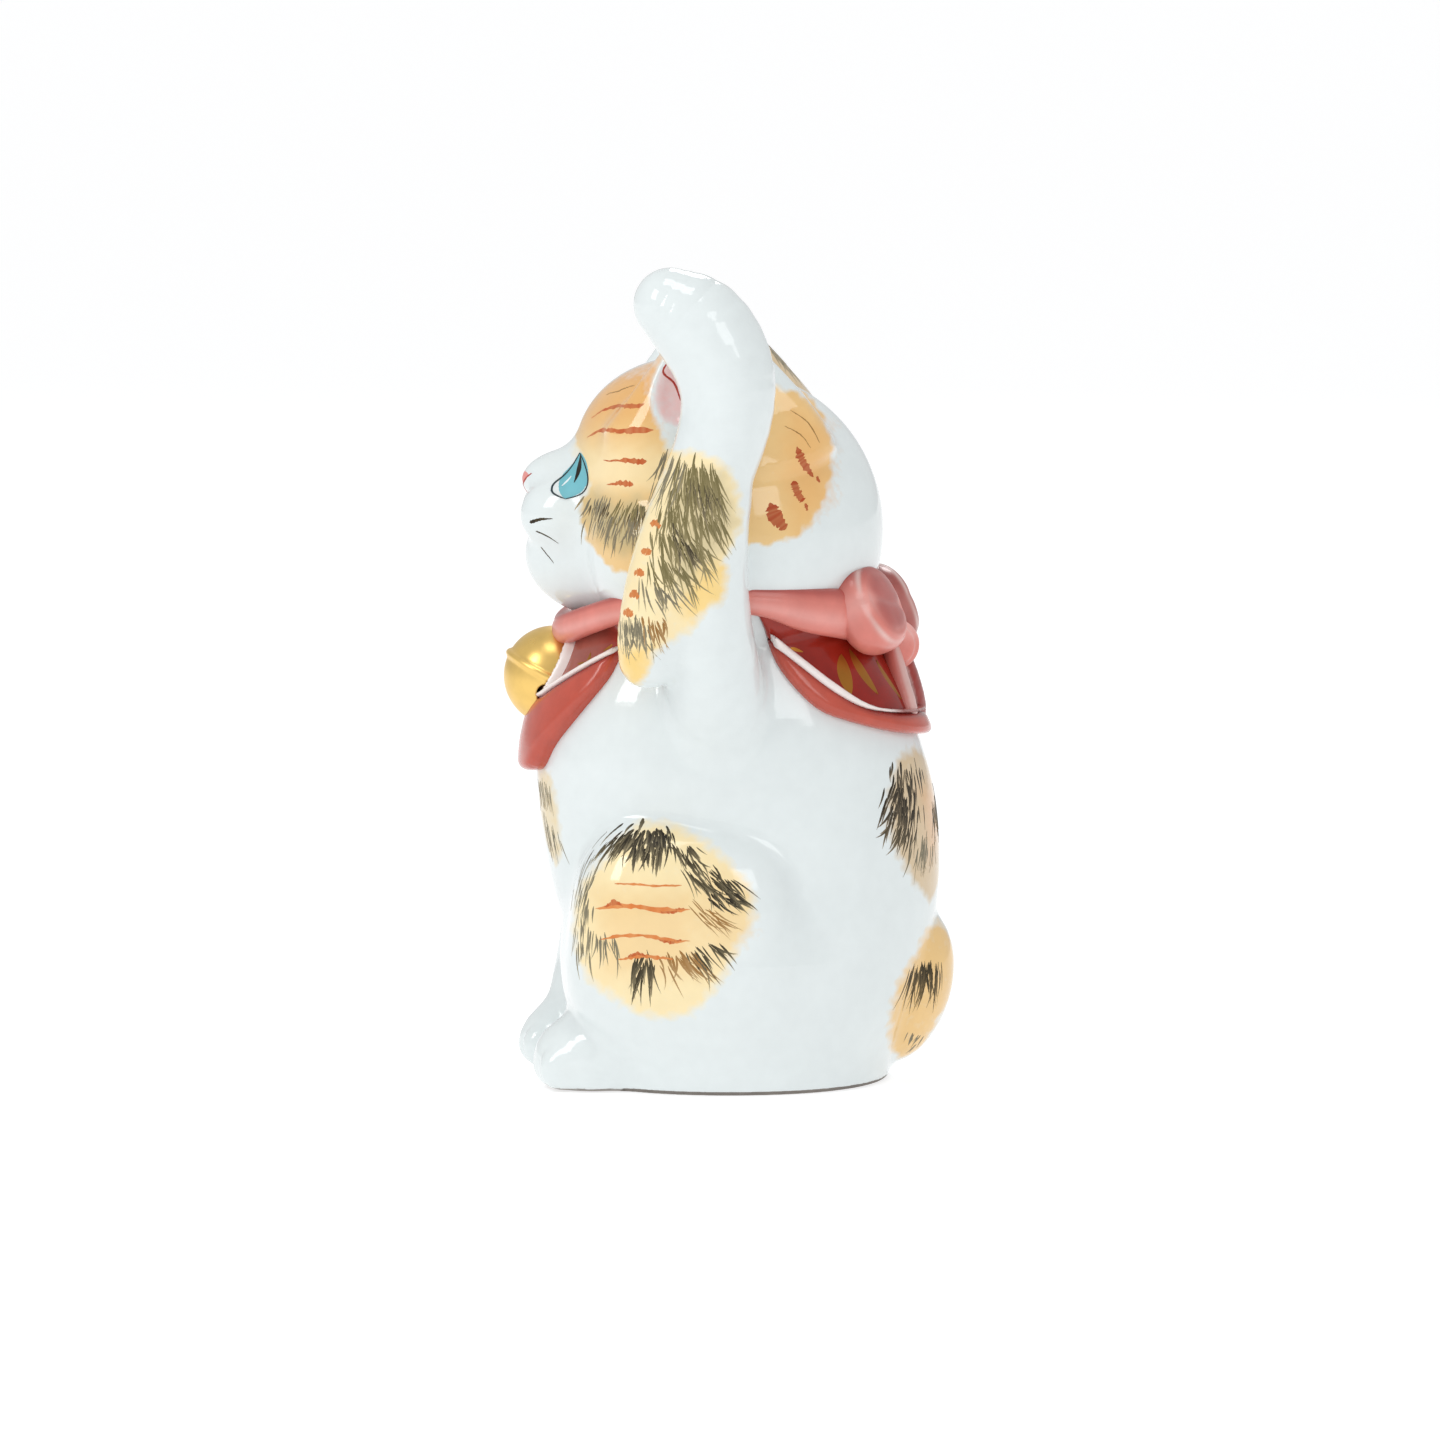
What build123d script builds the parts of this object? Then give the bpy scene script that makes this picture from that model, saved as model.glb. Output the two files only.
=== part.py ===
"""Seated beckoning cat figurine in glazed porcelain, left forepaw raised.

Millimetres, +Z up. The cat faces -Y and its left side is +X. The model is drawn about the
cat's own mid-plane and is moved at the end, so that the origin is the middle of the bottom
of its bounding box. Every piece is a separately cast or hand-modelled section of clay.
"""

from build123d import *
import math
import os

# ---- driving dimensions ----
WALL = 3.0                    # cast wall of the hollow sections
BASE_THICK = 3.2              # flat bottom slab
FOOT_RING_WIDTH = 3.4         # unglazed ring that touches the table
FOOT_RING_RISE = 0.9          # recess inside that ring
VENT_RADIUS = 3.5             # firing vent in the bottom slab
NECK_HEIGHT = 66.4            # seam between torso and head
NECK_OPENING = 11.0           # radius of the hole through that seam

# torso outline at each height: height, front, back, half width
TORSO = (
    (BASE_THICK, -23.6, 23.9, 24.2),
    (11.0, -23.2, 27.6, 24.8),
    (20.0, -23.6, 30.0, 24.6),
    (30.0, -26.2, 31.0, 23.8),
    (40.0, -27.8, 30.6, 22.8),
    (48.0, -28.2, 28.8, 22.2),
    (56.0, -26.6, 25.6, 21.0),
    (62.0, -23.6, 22.2, 19.2),
    (NECK_HEIGHT, -20.8, 19.6, 17.4),
)

# lump = centre, radii
HEAD = ((0, 0, 80.4), (23.8, 22.7, 23.4))
BROW = ((0, -6.4, 91.2), (19.4, 15.9, 13.8))
BRIDGE = ((0, -20.0, 87.6), (6.3, 9.8, 5.2))
MUZZLE = ((0, -19.8, 83.2), (11.0, 10.4, 7.2))
CHIN = ((0, -17.6, 77.0), (10.2, 12.0, 9.0))
HAUNCH = ((14.8, -6.0, 22.0), (14.0, 18.2, 18.4))
HIND_FOOT = ((13.6, -18.6, 4.6), (8.2, 9.0, 6.8))
TOE_RADII = (2.5, 3.2, 3.4)
TOE_SPREAD = 4.5
TOE_ADVANCE = 6.6
TAIL = ((0, 25.6, 13.4), (9.6, 7.2, 11.8))
TAIL_LEAN = -16.0

EAR_BASE = (7.4, 11.6)        # half width and half depth where the ear leaves the head
EAR_FOOT = (13.4, 0.4, 93.0)
EAR_TIP = (17.6, -2.6, 111.4)

# foreleg stations: x, y, z, half depth, half width
RAISED_LEG = (
    (14.6, -1.6, 46.0, 6.0, 5.8),
    (19.4, -2.4, 55.0, 7.4, 6.8),
    (24.0, -4.8, 64.5, 8.8, 6.8),
    (27.0, -5.4, 73.5, 8.8, 6.4),
    (28.6, -3.2, 83.5, 7.2, 6.2),
    (29.2, -0.9, 92.5, 6.3, 6.1),
    (29.2, 0.2, 100.5, 6.6, 6.2),
    (28.9, -0.7, 107.0, 7.1, 6.4),
    (28.6, -4.2, 111.8, 7.0, 6.5),
    (28.4, -8.0, 114.2, 5.6, 5.6),
)
PAW_TIP = ((28.4, -8.4, 114.8), 5.2)
ELBOW = ((25.8, -11.8, 65.4), (4.8, 4.4, 7.0))
ELBOW_LEAN = 14.0
LOWERED_LEG = (
    (-16.0, -5.0, 58.0, 6.6, 6.4),
    (-19.4, -9.0, 50.0, 7.0, 6.4),
    (-19.8, -13.6, 40.0, 6.6, 6.0),
    (-17.4, -17.6, 29.0, 5.8, 5.6),
    (-13.2, -19.4, 18.0, 5.4, 5.4),
    (-9.8, -21.6, 8.0, 5.2, 5.6),
)
FOREPAW = ((-8.8, -24.8, 4.6), (5.9, 6.4, 5.6))

SEAM = 0.05                   # slip joint between a piece and the slab or band it leans on
BAND = 3.1                    # half thickness of the rolled neck band
BAND_RISE = 3.0               # half height of the band
BAND_CENTRE = (0, -1.4, 66.6)
BAND_RADII = (18.2, 20.4)     # across and along the body
BAND_TILT = 4.2               # the band dips towards the chest
BIB_THICK = 1.9
PIPING_THICK = 2.5
PIPING_WIDTH = 1.0
BELL_RIM = (7.5, 8.4)         # inner and outer radius of the raised rim around the bell
# shield-shaped kerchief outlines: half width at the top, point on the side, height of the tip
BIB_TOP = 65.0                # the kerchief runs up under the band to here
FRONT_OUTER = (15.6, (12.0, 52.6), 44.4)
FRONT_INNER = (15.0, (9.0, 58.4), 54.8)
BACK_OUTER = (22.6, (17.4, 53.6), 49.8)
BACK_INNER = (18.4, (13.4, 57.4), 54.2)

BELL_CENTRE = (0, -25.8, 59.1)
BELL_RADIUS = 6.8
BELL_LEAN = 28.0
BELL_RIDGE = (7.1, 0.5)       # radius and half height of the raised seam
BELL_SLIT = 1.0               # width of the mouth, which runs under the bell from side to side
BELL_SLIT_DEPTH = 1.2
BELL_EYE = 1.35               # radius of the round ends of the mouth

KNOT = ((0, 24.6, 64.2), (3.4, 3.6, 3.2))
LEFT_LOOP = ((8.8, 21.2, 69.4), (8.4, 4.0, 5.8), (14, -18, -14))
RIGHT_LOOP = ((-8.4, 23.2, 69.0), (8.2, 4.0, 5.6), (8, 20, 10))
LEFT_RIBBON = ((2.9, 27.6, 57.0), (3.0, 1.9, 6.8), (15, -10, 0))
RIGHT_RIBBON = ((-3.1, 27.8, 56.6), (3.0, 1.9, 7.0), (15, 12, 0))
CHIP_SHARE = 0.1              # cut-off bits below this share of the biggest are dropped
LOOP_HOLLOW = 0.62            # share of a loop that its open end takes


def lump(centre, radii, turn=(0, 0, 0)):
    """An egg-shaped volume with the given centre, radii and turn in degrees."""
    return Location(centre, turn) * scale(Sphere(1.0), by=radii)


def torso_volume(grow=0.0, top=0.0):
    """The torso's outer volume, with every section made larger by grow."""
    sections = []
    for height, front, back, half_width in TORSO:
        middle = (front + back) / 2
        oval = Ellipse(half_width + grow, (back - front) / 2 + grow)
        sections.append(Plane.XY.offset(height) * Pos(0, middle) * oval)
    if top:
        height, front, back, half_width = TORSO[-1]
        oval = Ellipse(half_width - top / 2 + grow, (back - front - top) / 2 + grow)
        sections.append(Plane.XY.offset(height + top) * Pos(0, (front + back) / 2) * oval)
    return loft(sections)


def above(height):
    """Everything above a height."""
    return Pos(0, 0, height) * Box(200, 200, 200, align=(Align.CENTER, Align.CENTER, Align.MIN))


def mirrored(point):
    """The same point on the other side of the mid-plane."""
    return (-point[0], *point[1:])


def largest(shape):
    """The biggest solid of a cut piece, without chips left along its seams."""
    return Part() + max(shape.solids(), key=lambda solid: solid.volume)


def sizeable(shape):
    """A cut piece without its chips; the bell parts some pieces into a left and a right."""
    solids = shape.solids()
    biggest = max(solid.volume for solid in solids)
    kept = [solid for solid in solids if solid.volume > CHIP_SHARE * biggest]
    return Part() + kept


def body_volume():
    """Torso and both haunches as one filled volume, cut flat above the bottom slab."""
    volume = torso_volume()
    for centre in (HAUNCH[0], mirrored(HAUNCH[0])):
        volume += lump(centre, HAUNCH[1])
    return volume & above(BASE_THICK)


def make_torso(volume):
    """Hollow torso, open below to the slab and above through the neck."""
    cavity = torso_volume(grow=-WALL)
    hollow_radii = tuple(radius - WALL for radius in HAUNCH[1])
    for centre in (HAUNCH[0], mirrored(HAUNCH[0])):
        cavity += lump(centre, hollow_radii)
    roof = above(NECK_HEIGHT - WALL)
    neck_hole = Pos(0, 0, NECK_HEIGHT - 2 * WALL) * Cylinder(NECK_OPENING, 4 * WALL)
    return volume - (cavity - roof) - neck_hole


def slab_clearance():
    """The bottom slab's outline, larger by the slip joint, for the pieces that meet it."""
    height, front, back, half_width = TORSO[0]
    oval = Ellipse(half_width + SEAM, (back - front) / 2 + SEAM)
    return extrude(Pos(0, (front + back) / 2) * oval, height)


def make_base():
    """Flat bottom slab with a foot ring and the firing vent."""
    height, front, back, half_width = TORSO[0]
    middle = (front + back) / 2
    oval = Ellipse(half_width, (back - front) / 2)
    inner = Ellipse(half_width - FOOT_RING_WIDTH, (back - front) / 2 - FOOT_RING_WIDTH)
    slab = extrude(Pos(0, middle) * oval, BASE_THICK)
    slab = fillet(slab.edges().group_by(Axis.Z)[0], 0.8)
    recess = extrude(Pos(0, middle) * inner, FOOT_RING_RISE)
    vent = Pos(0, middle) * Cylinder(VENT_RADIUS, 4 * BASE_THICK)
    return slab - recess - vent


def head_volume():
    """Filled head with brow, nose bridge, muzzle and chin, cut flat at the neck seam."""
    volume = lump(*HEAD) + lump(*BROW) + lump(*BRIDGE) + lump(*MUZZLE) + lump(*CHIN)
    return volume & above(NECK_HEIGHT)


def make_head(volume):
    """Hollow head with the neck hole in its underside."""
    centre, radii = HEAD
    cavity = lump(centre, tuple(radius - WALL for radius in radii))
    cavity = cavity & above(NECK_HEIGHT + WALL)
    neck_hole = Pos(0, 0, NECK_HEIGHT) * Cylinder(NECK_OPENING, 4 * WALL)
    return volume - cavity - neck_hole


def make_ear(side, head):
    """Upright ear: a narrowing oval, side +1 for the left and -1 for the right."""
    foot = Vector(side * EAR_FOOT[0], *EAR_FOOT[1:])
    tip = Vector(side * EAR_TIP[0], *EAR_TIP[1:])
    axis = tip - foot
    half_width, half_depth = EAR_BASE
    sections = []
    for share, size in ((0.0, 1.0), (0.45, 0.74), (0.8, 0.38), (1.0, 0.12)):
        at = Plane(origin=foot + axis * share, x_dir=(1, 0, 0), z_dir=axis)
        sections.append(at * Ellipse(half_width * size, half_depth * size))
    return largest(loft(sections) - head)


def leg_volume(stations, across=(1, 0, 0)):
    """A leg lofted through its oval stations, each square to the leg's run."""
    points = [Vector(*station[:3]) for station in stations]
    sections = []
    for index, station in enumerate(stations):
        before = points[max(index - 1, 0)]
        after = points[min(index + 1, len(points) - 1)]
        at = Plane(origin=points[index], x_dir=across, z_dir=after - before)
        sections.append(at * Ellipse(station[4], station[3]))
    return loft(sections)


def raised_leg_volume():
    """Upright foreleg with its curled paw and the free point of the elbow."""
    paw_centre, paw_radius = PAW_TIP
    volume = leg_volume(RAISED_LEG) + Pos(*paw_centre) * Sphere(paw_radius)
    return volume + lump(*ELBOW, (ELBOW_LEAN, 0, 0))


def lowered_leg_volume():
    """Lowered foreleg with its paw, cut flat where it stands on the table."""
    volume = leg_volume(LOWERED_LEG) + lump(*FOREPAW)
    return volume & above(0)


def hind_foot_volume(side):
    """Rounded hind foot with three toes, flat underneath."""
    centre, radii = HIND_FOOT
    middle = Vector(side * centre[0], *centre[1:])
    volume = lump(tuple(middle), radii)
    for step in (-1, 0, 1):
        toe = middle + Vector(step * TOE_SPREAD, -TOE_ADVANCE + 0.8 * abs(step), -1.0)
        volume += lump(tuple(toe), TOE_RADII)
    return volume & above(0)


def make_tail():
    """Round bobtail that leans in towards the table."""
    return lump(*TAIL, (TAIL_LEAN, 0, 0)) & above(0)


def band_volume(grow=0.0):
    """Rolled neck band before it is fitted: an oval ring with a rounded outer face."""
    across, along = BAND_RADII
    outer = Ellipse(across + BAND + grow, along + BAND + grow)
    ring = outer - Ellipse(across - 2 * BAND, along - 2 * BAND)
    slab = extrude(ring, BAND_RISE + grow, both=True)
    rim = slab.edges().filter_by(GeomType.ELLIPSE).sort_by(SortBy.LENGTH)[-2:]
    return Location(BAND_CENTRE, (BAND_TILT, 0, 0)) * fillet(rim, 0.9 * BAND_RISE)


def shield(outline, side):
    """A shield-shaped prism seen from the front or back; side is -1 front, +1 back."""
    half_width, (side_x, side_z), tip = outline
    right = ThreePointArc((half_width, BIB_TOP), (side_x, side_z), (0, tip))
    left = ThreePointArc((0, tip), (-side_x, side_z), (-half_width, BIB_TOP))
    face = make_face([right, left, Line((-half_width, BIB_TOP), (half_width, BIB_TOP))])
    return extrude(Plane.XZ * face, side * -60)


def make_bib(outer, inner, side, skin, piping_skin):
    """Kerchief half as panel, piping and border, each lying on the torso."""
    half_width, (side_x, side_z), tip = inner
    rim_side = (side_x + 0.7 * PIPING_WIDTH, side_z - 0.7 * PIPING_WIDTH)
    inside = shield(inner, side)
    seam = shield((half_width + PIPING_WIDTH, rim_side, tip - PIPING_WIDTH), side)
    whole = shield(outer, side)
    line = seam - inside
    if side < 0:
        line = line + (bell_rim(BELL_RIM[1]) & inside)
        line = line - bell_rim(BELL_RIM[0])
    panel = (skin & inside & whole) - line
    piping = piping_skin & line & whole
    border = (skin & whole) - seam - inside
    return panel, piping, border


def bell_volume():
    """Round bell with a raised seam and its mouth underneath, leaning back on the chest."""
    bell = Sphere(BELL_RADIUS) + Cylinder(BELL_RIDGE[0], 2 * BELL_RIDGE[1])
    core = Sphere(BELL_RADIUS - BELL_SLIT_DEPTH)
    below = Align.MAX
    gap = Box(4 * BELL_RADIUS, BELL_SLIT, 2 * BELL_RADIUS, align=(Align.CENTER, Align.CENTER, below))
    eyes = Rot(0, 90, 0) * Cylinder(BELL_EYE, 4 * BELL_RADIUS)
    mouth = gap + Pos(0, 0, -BELL_RIDGE[1] - BELL_EYE) * eyes
    return Location(BELL_CENTRE, (-BELL_LEAN, 0, 0)) * (bell - (mouth - core))


def bell_rim(radius):
    """A cylinder along Y about the bell's centre, for the rim that frames it."""
    return Pos(0, BELL_CENTRE[1], BELL_CENTRE[2]) * Rot(90, 0, 0) * Cylinder(radius, 30)


def make_loop(centre, radii, turn):
    """Bow loop with the open end that a folded ribbon has."""
    loop = lump(centre, radii, turn)
    opening = scale(Cylinder(1.0, 1.0), by=(radii[0] * 0.8, radii[1] * LOOP_HOLLOW, 1.2))
    upper = Location(centre, turn) * Pos(0, 0, radii[2]) * opening
    return loop - upper


def build():
    """Every piece by name, each cut to meet its neighbours face to face."""
    body = body_volume()
    head = head_volume()
    raised = largest(raised_leg_volume() - body - head)
    slab = slab_clearance()
    lowered = largest(lowered_leg_volume() - body - head - slab)
    feet = {side: largest(hind_foot_volume(side) - body - slab - lowered) for side in (1, -1)}
    core = body + head
    band = largest(band_volume() - body - head - raised - lowered)
    skin = torso_volume(grow=BIB_THICK, top=1.0) - body - head
    piping_skin = torso_volume(grow=PIPING_THICK, top=1.0) - body - head
    bibs = {}
    halves = (("front", FRONT_OUTER, FRONT_INNER, -1), ("back", BACK_OUTER, BACK_INNER, 1))
    for name, outer, inner, side in halves:
        group = make_bib(outer, inner, side, skin, piping_skin)
        for part, shape in zip(("panel", "piping", "border"), group):
            bibs[f"bib_{name}_{part}"] = sizeable(shape - band - raised - lowered)
    bell = bell_volume() - core - band
    for piece in bibs.values():
        bell = bell - piece
    bell = largest(bell)
    knot = lump(*KNOT)
    pieces = {
        "torso_shell": make_torso(body),
        "base_plate": make_base(),
        "head_shell": make_head(head),
        "left_ear": make_ear(1, head),
        "right_ear": make_ear(-1, head),
        "raised_left_foreleg": raised,
        "lowered_right_foreleg": lowered,
        "left_hind_foot": feet[1],
        "right_hind_foot": feet[-1],
        "tail": largest(make_tail() - body - slab),
        "neck_band": band,
        "bell": bell,
    }
    pieces.update(bibs)
    backing = core + band_volume(grow=SEAM)
    for name in ("bib_back_panel", "bib_back_piping", "bib_back_border"):
        backing = backing + bibs[name]
    pieces["bow_knot"] = largest(knot - backing)
    for name, spec in (("left_loop", LEFT_LOOP), ("right_loop", RIGHT_LOOP)):
        pieces[f"bow_{name}"] = largest(make_loop(*spec) - backing - pieces["bow_knot"])
    loops = pieces["bow_left_loop"] + pieces["bow_right_loop"] + pieces["bow_knot"]
    left_ribbon = largest(lump(*LEFT_RIBBON) - backing - loops)
    pieces["bow_left_ribbon"] = left_ribbon
    pieces["bow_right_ribbon"] = largest(lump(*RIGHT_RIBBON) - backing - loops - left_ribbon)
    return pieces


def main():
    """Move the model onto its origin and write one file per piece."""
    pieces = build()
    whole = Compound(children=[solid for piece in pieces.values() for solid in piece.solids()])
    box = whole.bounding_box()
    shift = Pos(-(box.min.X + box.max.X) / 2, -(box.min.Y + box.max.Y) / 2, 0)
    os.makedirs("parts", exist_ok=True)
    for name, piece in pieces.items():
        export_step(shift * piece, f"parts/{name}.step")
        print(name, len(piece.solids()), round(piece.volume, 1))
    print("size", box.size, "moved by", shift.position)


main()
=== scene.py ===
import math
import bpy
import numpy as np
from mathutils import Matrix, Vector


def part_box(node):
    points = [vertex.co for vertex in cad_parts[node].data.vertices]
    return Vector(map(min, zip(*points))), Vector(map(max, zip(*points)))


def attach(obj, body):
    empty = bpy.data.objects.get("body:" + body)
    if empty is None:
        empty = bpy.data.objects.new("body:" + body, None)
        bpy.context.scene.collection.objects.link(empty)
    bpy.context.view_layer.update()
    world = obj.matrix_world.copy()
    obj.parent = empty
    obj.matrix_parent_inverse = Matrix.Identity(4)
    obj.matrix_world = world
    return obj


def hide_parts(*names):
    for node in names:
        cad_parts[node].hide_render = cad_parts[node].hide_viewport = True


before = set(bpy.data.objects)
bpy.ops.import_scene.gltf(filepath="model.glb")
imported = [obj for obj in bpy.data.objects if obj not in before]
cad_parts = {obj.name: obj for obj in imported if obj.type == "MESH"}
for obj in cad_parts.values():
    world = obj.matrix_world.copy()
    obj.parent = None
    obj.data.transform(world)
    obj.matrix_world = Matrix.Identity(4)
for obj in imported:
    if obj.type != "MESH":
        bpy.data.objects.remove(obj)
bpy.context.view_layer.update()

MM = 0.001

# The cat is drawn in millimetres about its own mid-plane, facing -Y with its left side at +X.
# ORIGIN is that place in the frame; the middle of the base lies BASE_MIDDLE behind it.
BASE_MIDDLE = 0.15
BASE_LOW, BASE_HIGH = (np.array(corner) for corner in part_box("base_plate"))
ORIGIN = (BASE_LOW + BASE_HIGH) / 2 * (1, 1, 0) - (0, BASE_MIDDLE * MM, 0)


# ---- implicit shapes
def smooth_min(a, b, k):
    """The lesser of two distances, rounded over a width k."""
    h = np.clip(0.5 + 0.5 * (b - a) / k, 0, 1)
    return b + (a - b) * h - k * h * (1 - h)


def smooth_max(a, b, k):
    return -smooth_min(-a, -b, k)


def rotation(turn):
    """Matrix whose columns are the axes of a shape turned by XYZ degrees."""
    (cx, cy, cz), (sx, sy, sz) = np.cos(np.radians(turn)), np.sin(np.radians(turn))
    about_x = np.array([[1, 0, 0], [0, cx, -sx], [0, sx, cx]])
    about_y = np.array([[cy, 0, sy], [0, 1, 0], [-sy, 0, cy]])
    about_z = np.array([[cz, -sz, 0], [sz, cz, 0], [0, 0, 1]])
    return about_x @ about_y @ about_z


def egg(p, centre, radii, turn=(0, 0, 0)):
    """Distance to an ellipsoid."""
    q = p - np.array(centre, p.dtype)
    if any(turn):
        q = q @ rotation(turn).astype(p.dtype)
    r = np.array(radii, p.dtype)
    near = np.sqrt(((q / r) ** 2).sum(1)) + 1e-6
    slope = np.sqrt(((q / r ** 2) ** 2).sum(1)) + 1e-6
    return near * (near - 1) / slope


def smooth_path(stations, steps=3):
    """Stations (x, y, z, radius...) with rounded-off points put in between."""
    s = np.array(stations, float)
    padded = np.vstack([2 * s[0] - s[1], s, 2 * s[-1] - s[-2]])
    out = []
    for i in range(1, len(padded) - 2):
        a, b, c, d = padded[i - 1:i + 3]
        for t in np.arange(steps) / steps:
            out.append(0.5 * (2 * b + (c - a) * t + (2 * a - 5 * b + 4 * c - d) * t ** 2
                              + (3 * b - a - 3 * c + d) * t ** 3))
    out.append(s[-1])
    return np.array(out)


def boxed(shape, p, low, high, margin=6):
    """A shape worked out only near its box; further off, the distance to the box."""
    low = np.array(low, p.dtype)
    high = np.array(high, p.dtype)
    gap = np.maximum(np.maximum(low - p, p - high), 0)
    away = np.sqrt((gap ** 2).sum(1))
    near = away < margin
    away[near] = shape(p[near])
    return away


def limb(p, path):
    """Distance to a round limb whose radius changes along its path."""
    def inner(q):
        best = np.full(len(q), 1e9, q.dtype)
        for a, b in zip(path[:-1], path[1:]):
            start = a[:3].astype(q.dtype)
            run = (b[:3] - a[:3]).astype(q.dtype)
            off = q - start
            t = np.clip(off @ run / (run @ run), 0, 1)
            off = off - t[:, None] * run
            radius = (a[3] + (b[3] - a[3]) * t).astype(q.dtype)
            best = np.minimum(best, np.sqrt((off ** 2).sum(1)) - radius)
        return best
    reach = path[:, 3:4]
    return boxed(inner, p, (path[:, :3] - reach).min(0), (path[:, :3] + reach).max(0))


# ---- the cat's body
# torso section by height: height, front, back, half width
TORSO = smooth_path((
    (-2, -22.8, 23, 23.2),
    (4, -23.4, 24.8, 24.2),
    (11, -23.2, 27.6, 24.4),
    (20, -23.6, 30, 23.8),
    (30, -26, 31.1, 23),
    (40, -27.6, 30.6, 22.6),
    (48, -28, 28.8, 22.2),
    (56, -26.4, 25.6, 21.2),
    (62, -23.4, 22.2, 19.4),
    (70, -19, 18, 16),
), 6)
TORSO_TOP = 70
TORSO_ROUNDNESS = 2.15        # 2 is an ellipse; more is squarer
# limbs: x, y, z, radius
RAISED_FOREARM = smooth_path((
    (25.4, -11.4, 63.8, 4.3),
    (26.2, -10.6, 68, 5.2),
    (27.2, -8.4, 76, 5.9),
    (28.2, -5.4, 84.5, 6.1),
    (29, -1.8, 93, 6.3),
    (29.2, 0, 100.5, 6.7),
    (28.9, -0.8, 106.6, 7.1),
    (28.6, -4, 111.8, 7),
    (28.4, -8.2, 114.9, 5.3),
))
RAISED_UPPER = smooth_path((
    (11, -0.6, 46, 7.4),
    (18, -1.4, 56, 7.4),
    (23.4, -2.8, 66, 6.7),
    (26.6, -3.2, 76, 6.1),
    (28.4, -2.4, 86, 5.6),
))
LOWERED_LEG = smooth_path((
    (-15, -4, 59, 6.4),
    (-19, -8.6, 50, 6.8),
    (-19.6, -13.6, 40, 6.4),
    (-17.4, -17.6, 29, 5.7),
    (-13.4, -19.6, 18, 5.3),
    (-9.8, -21.6, 8.6, 5.2),
))
EAR_FOOT = np.array((13.4, -0.6, 92))
EAR_TIP = np.array((17.6, -4, 113.4))
FOOT_RECESS = 0.9
FOOT_GLAZE = 0.6              # the glaze stops this far above the table
VENT_RADIUS = 3.5
VENT_TOP = 8
# toes: distance from the paw's middle, and how far back
HIND_TOES = ((-4.6, 0.9), (0, 0), (4.6, 0.9))
FORE_TOES = ((-3.5, 0.7), (0, 0), (3.5, 0.7))
HIND_FOOT_X = 13.6
LOWERED_PAW_X = -8.8
EAR_BACK = (0.77, 0.64, 73.2)  # plane that cuts the ear off behind: y share, z share, distance


def torso(p):
    front, back, half = (np.interp(p[:, 2], TORSO[:, 0], at).astype(p.dtype) for at in TORSO[:, 1:].T)
    across = np.abs(p[:, 0]) / half
    along = np.abs(p[:, 1] - (front + back) / 2) / ((back - front) / 2)
    reach = (across ** TORSO_ROUNDNESS + along ** TORSO_ROUNDNESS) ** (1 / TORSO_ROUNDNESS)
    return smooth_max((reach - 1) * half, p[:, 2] - TORSO_TOP, 4)


def puffed(q, radii, power):
    """A cushion about the origin: an egg with squarer shoulders."""
    q = np.abs(q) + 1e-4
    radii = np.array(radii, q.dtype)
    near = ((q / radii) ** power).sum(1) ** (1 / power) + 1e-6
    slope = near ** (1 - power) * np.sqrt(((q ** (power - 1) / radii ** power) ** 2).sum(1)) + 1e-6
    return (near - 1) / slope


def haunch(p, side):
    """A full thigh, flatter on its side than an egg, so that its edge turns sharply."""
    q = (p - np.array((side * 13.4, -6, 22.4), p.dtype)) @ rotation((-6, 0, 0)).astype(p.dtype)
    return puffed(q, (15, 17.2, 18.2), 2.9)


def hind_foot(p, side):
    foot = egg(p, (side * HIND_FOOT_X, -19.2, 4.6), (8, 9, 6.8), (4, 0, 0))
    for across, back in HIND_TOES:
        toe = egg(p, (side * HIND_FOOT_X + across, -24.6 + back, 3.4), (2.5, 3.6, 3.4))
        foot = smooth_min(foot, toe, 0.6)
    return foot


def lowered_leg(p):
    paw = egg(p, (LOWERED_PAW_X, -24.2, 4.7), (5.8, 6.2, 5))
    for across, back in FORE_TOES:
        toe = egg(p, (LOWERED_PAW_X + across, -28.0 + back, 3.6), (2.1, 2.9, 3.2))
        paw = smooth_min(paw, toe, 0.6)
    return smooth_min(limb(p, LOWERED_LEG), paw, 2.5)


def raised_leg(p):
    return smooth_min(limb(p, RAISED_FOREARM), limb(p, RAISED_UPPER), 2.4)


def head(p):
    skull = egg(p, (0, 0, 80.4), (23.8, 22.8, 23.4))
    skull = smooth_min(skull, egg(p, (0, -6.4, 91.5), (19.4, 16, 14.2)), 4)
    face = egg(p, (0, -20, 87.8), (6.2, 10, 5))
    face = smooth_min(face, egg(p, (0, -17, 77), (10, 12.6, 9.4)), 2.2)
    for side in (-1, 1):
        face = smooth_min(face, egg(p, (side * 4.4, -20, 83), (6.4, 10.2, 6.8)), 1.6)
        skull = smooth_min(skull, egg(p, (side * 13, -9, 78), (9.6, 10, 9.6)), 4)
    return smooth_min(skull, face, 3)


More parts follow.
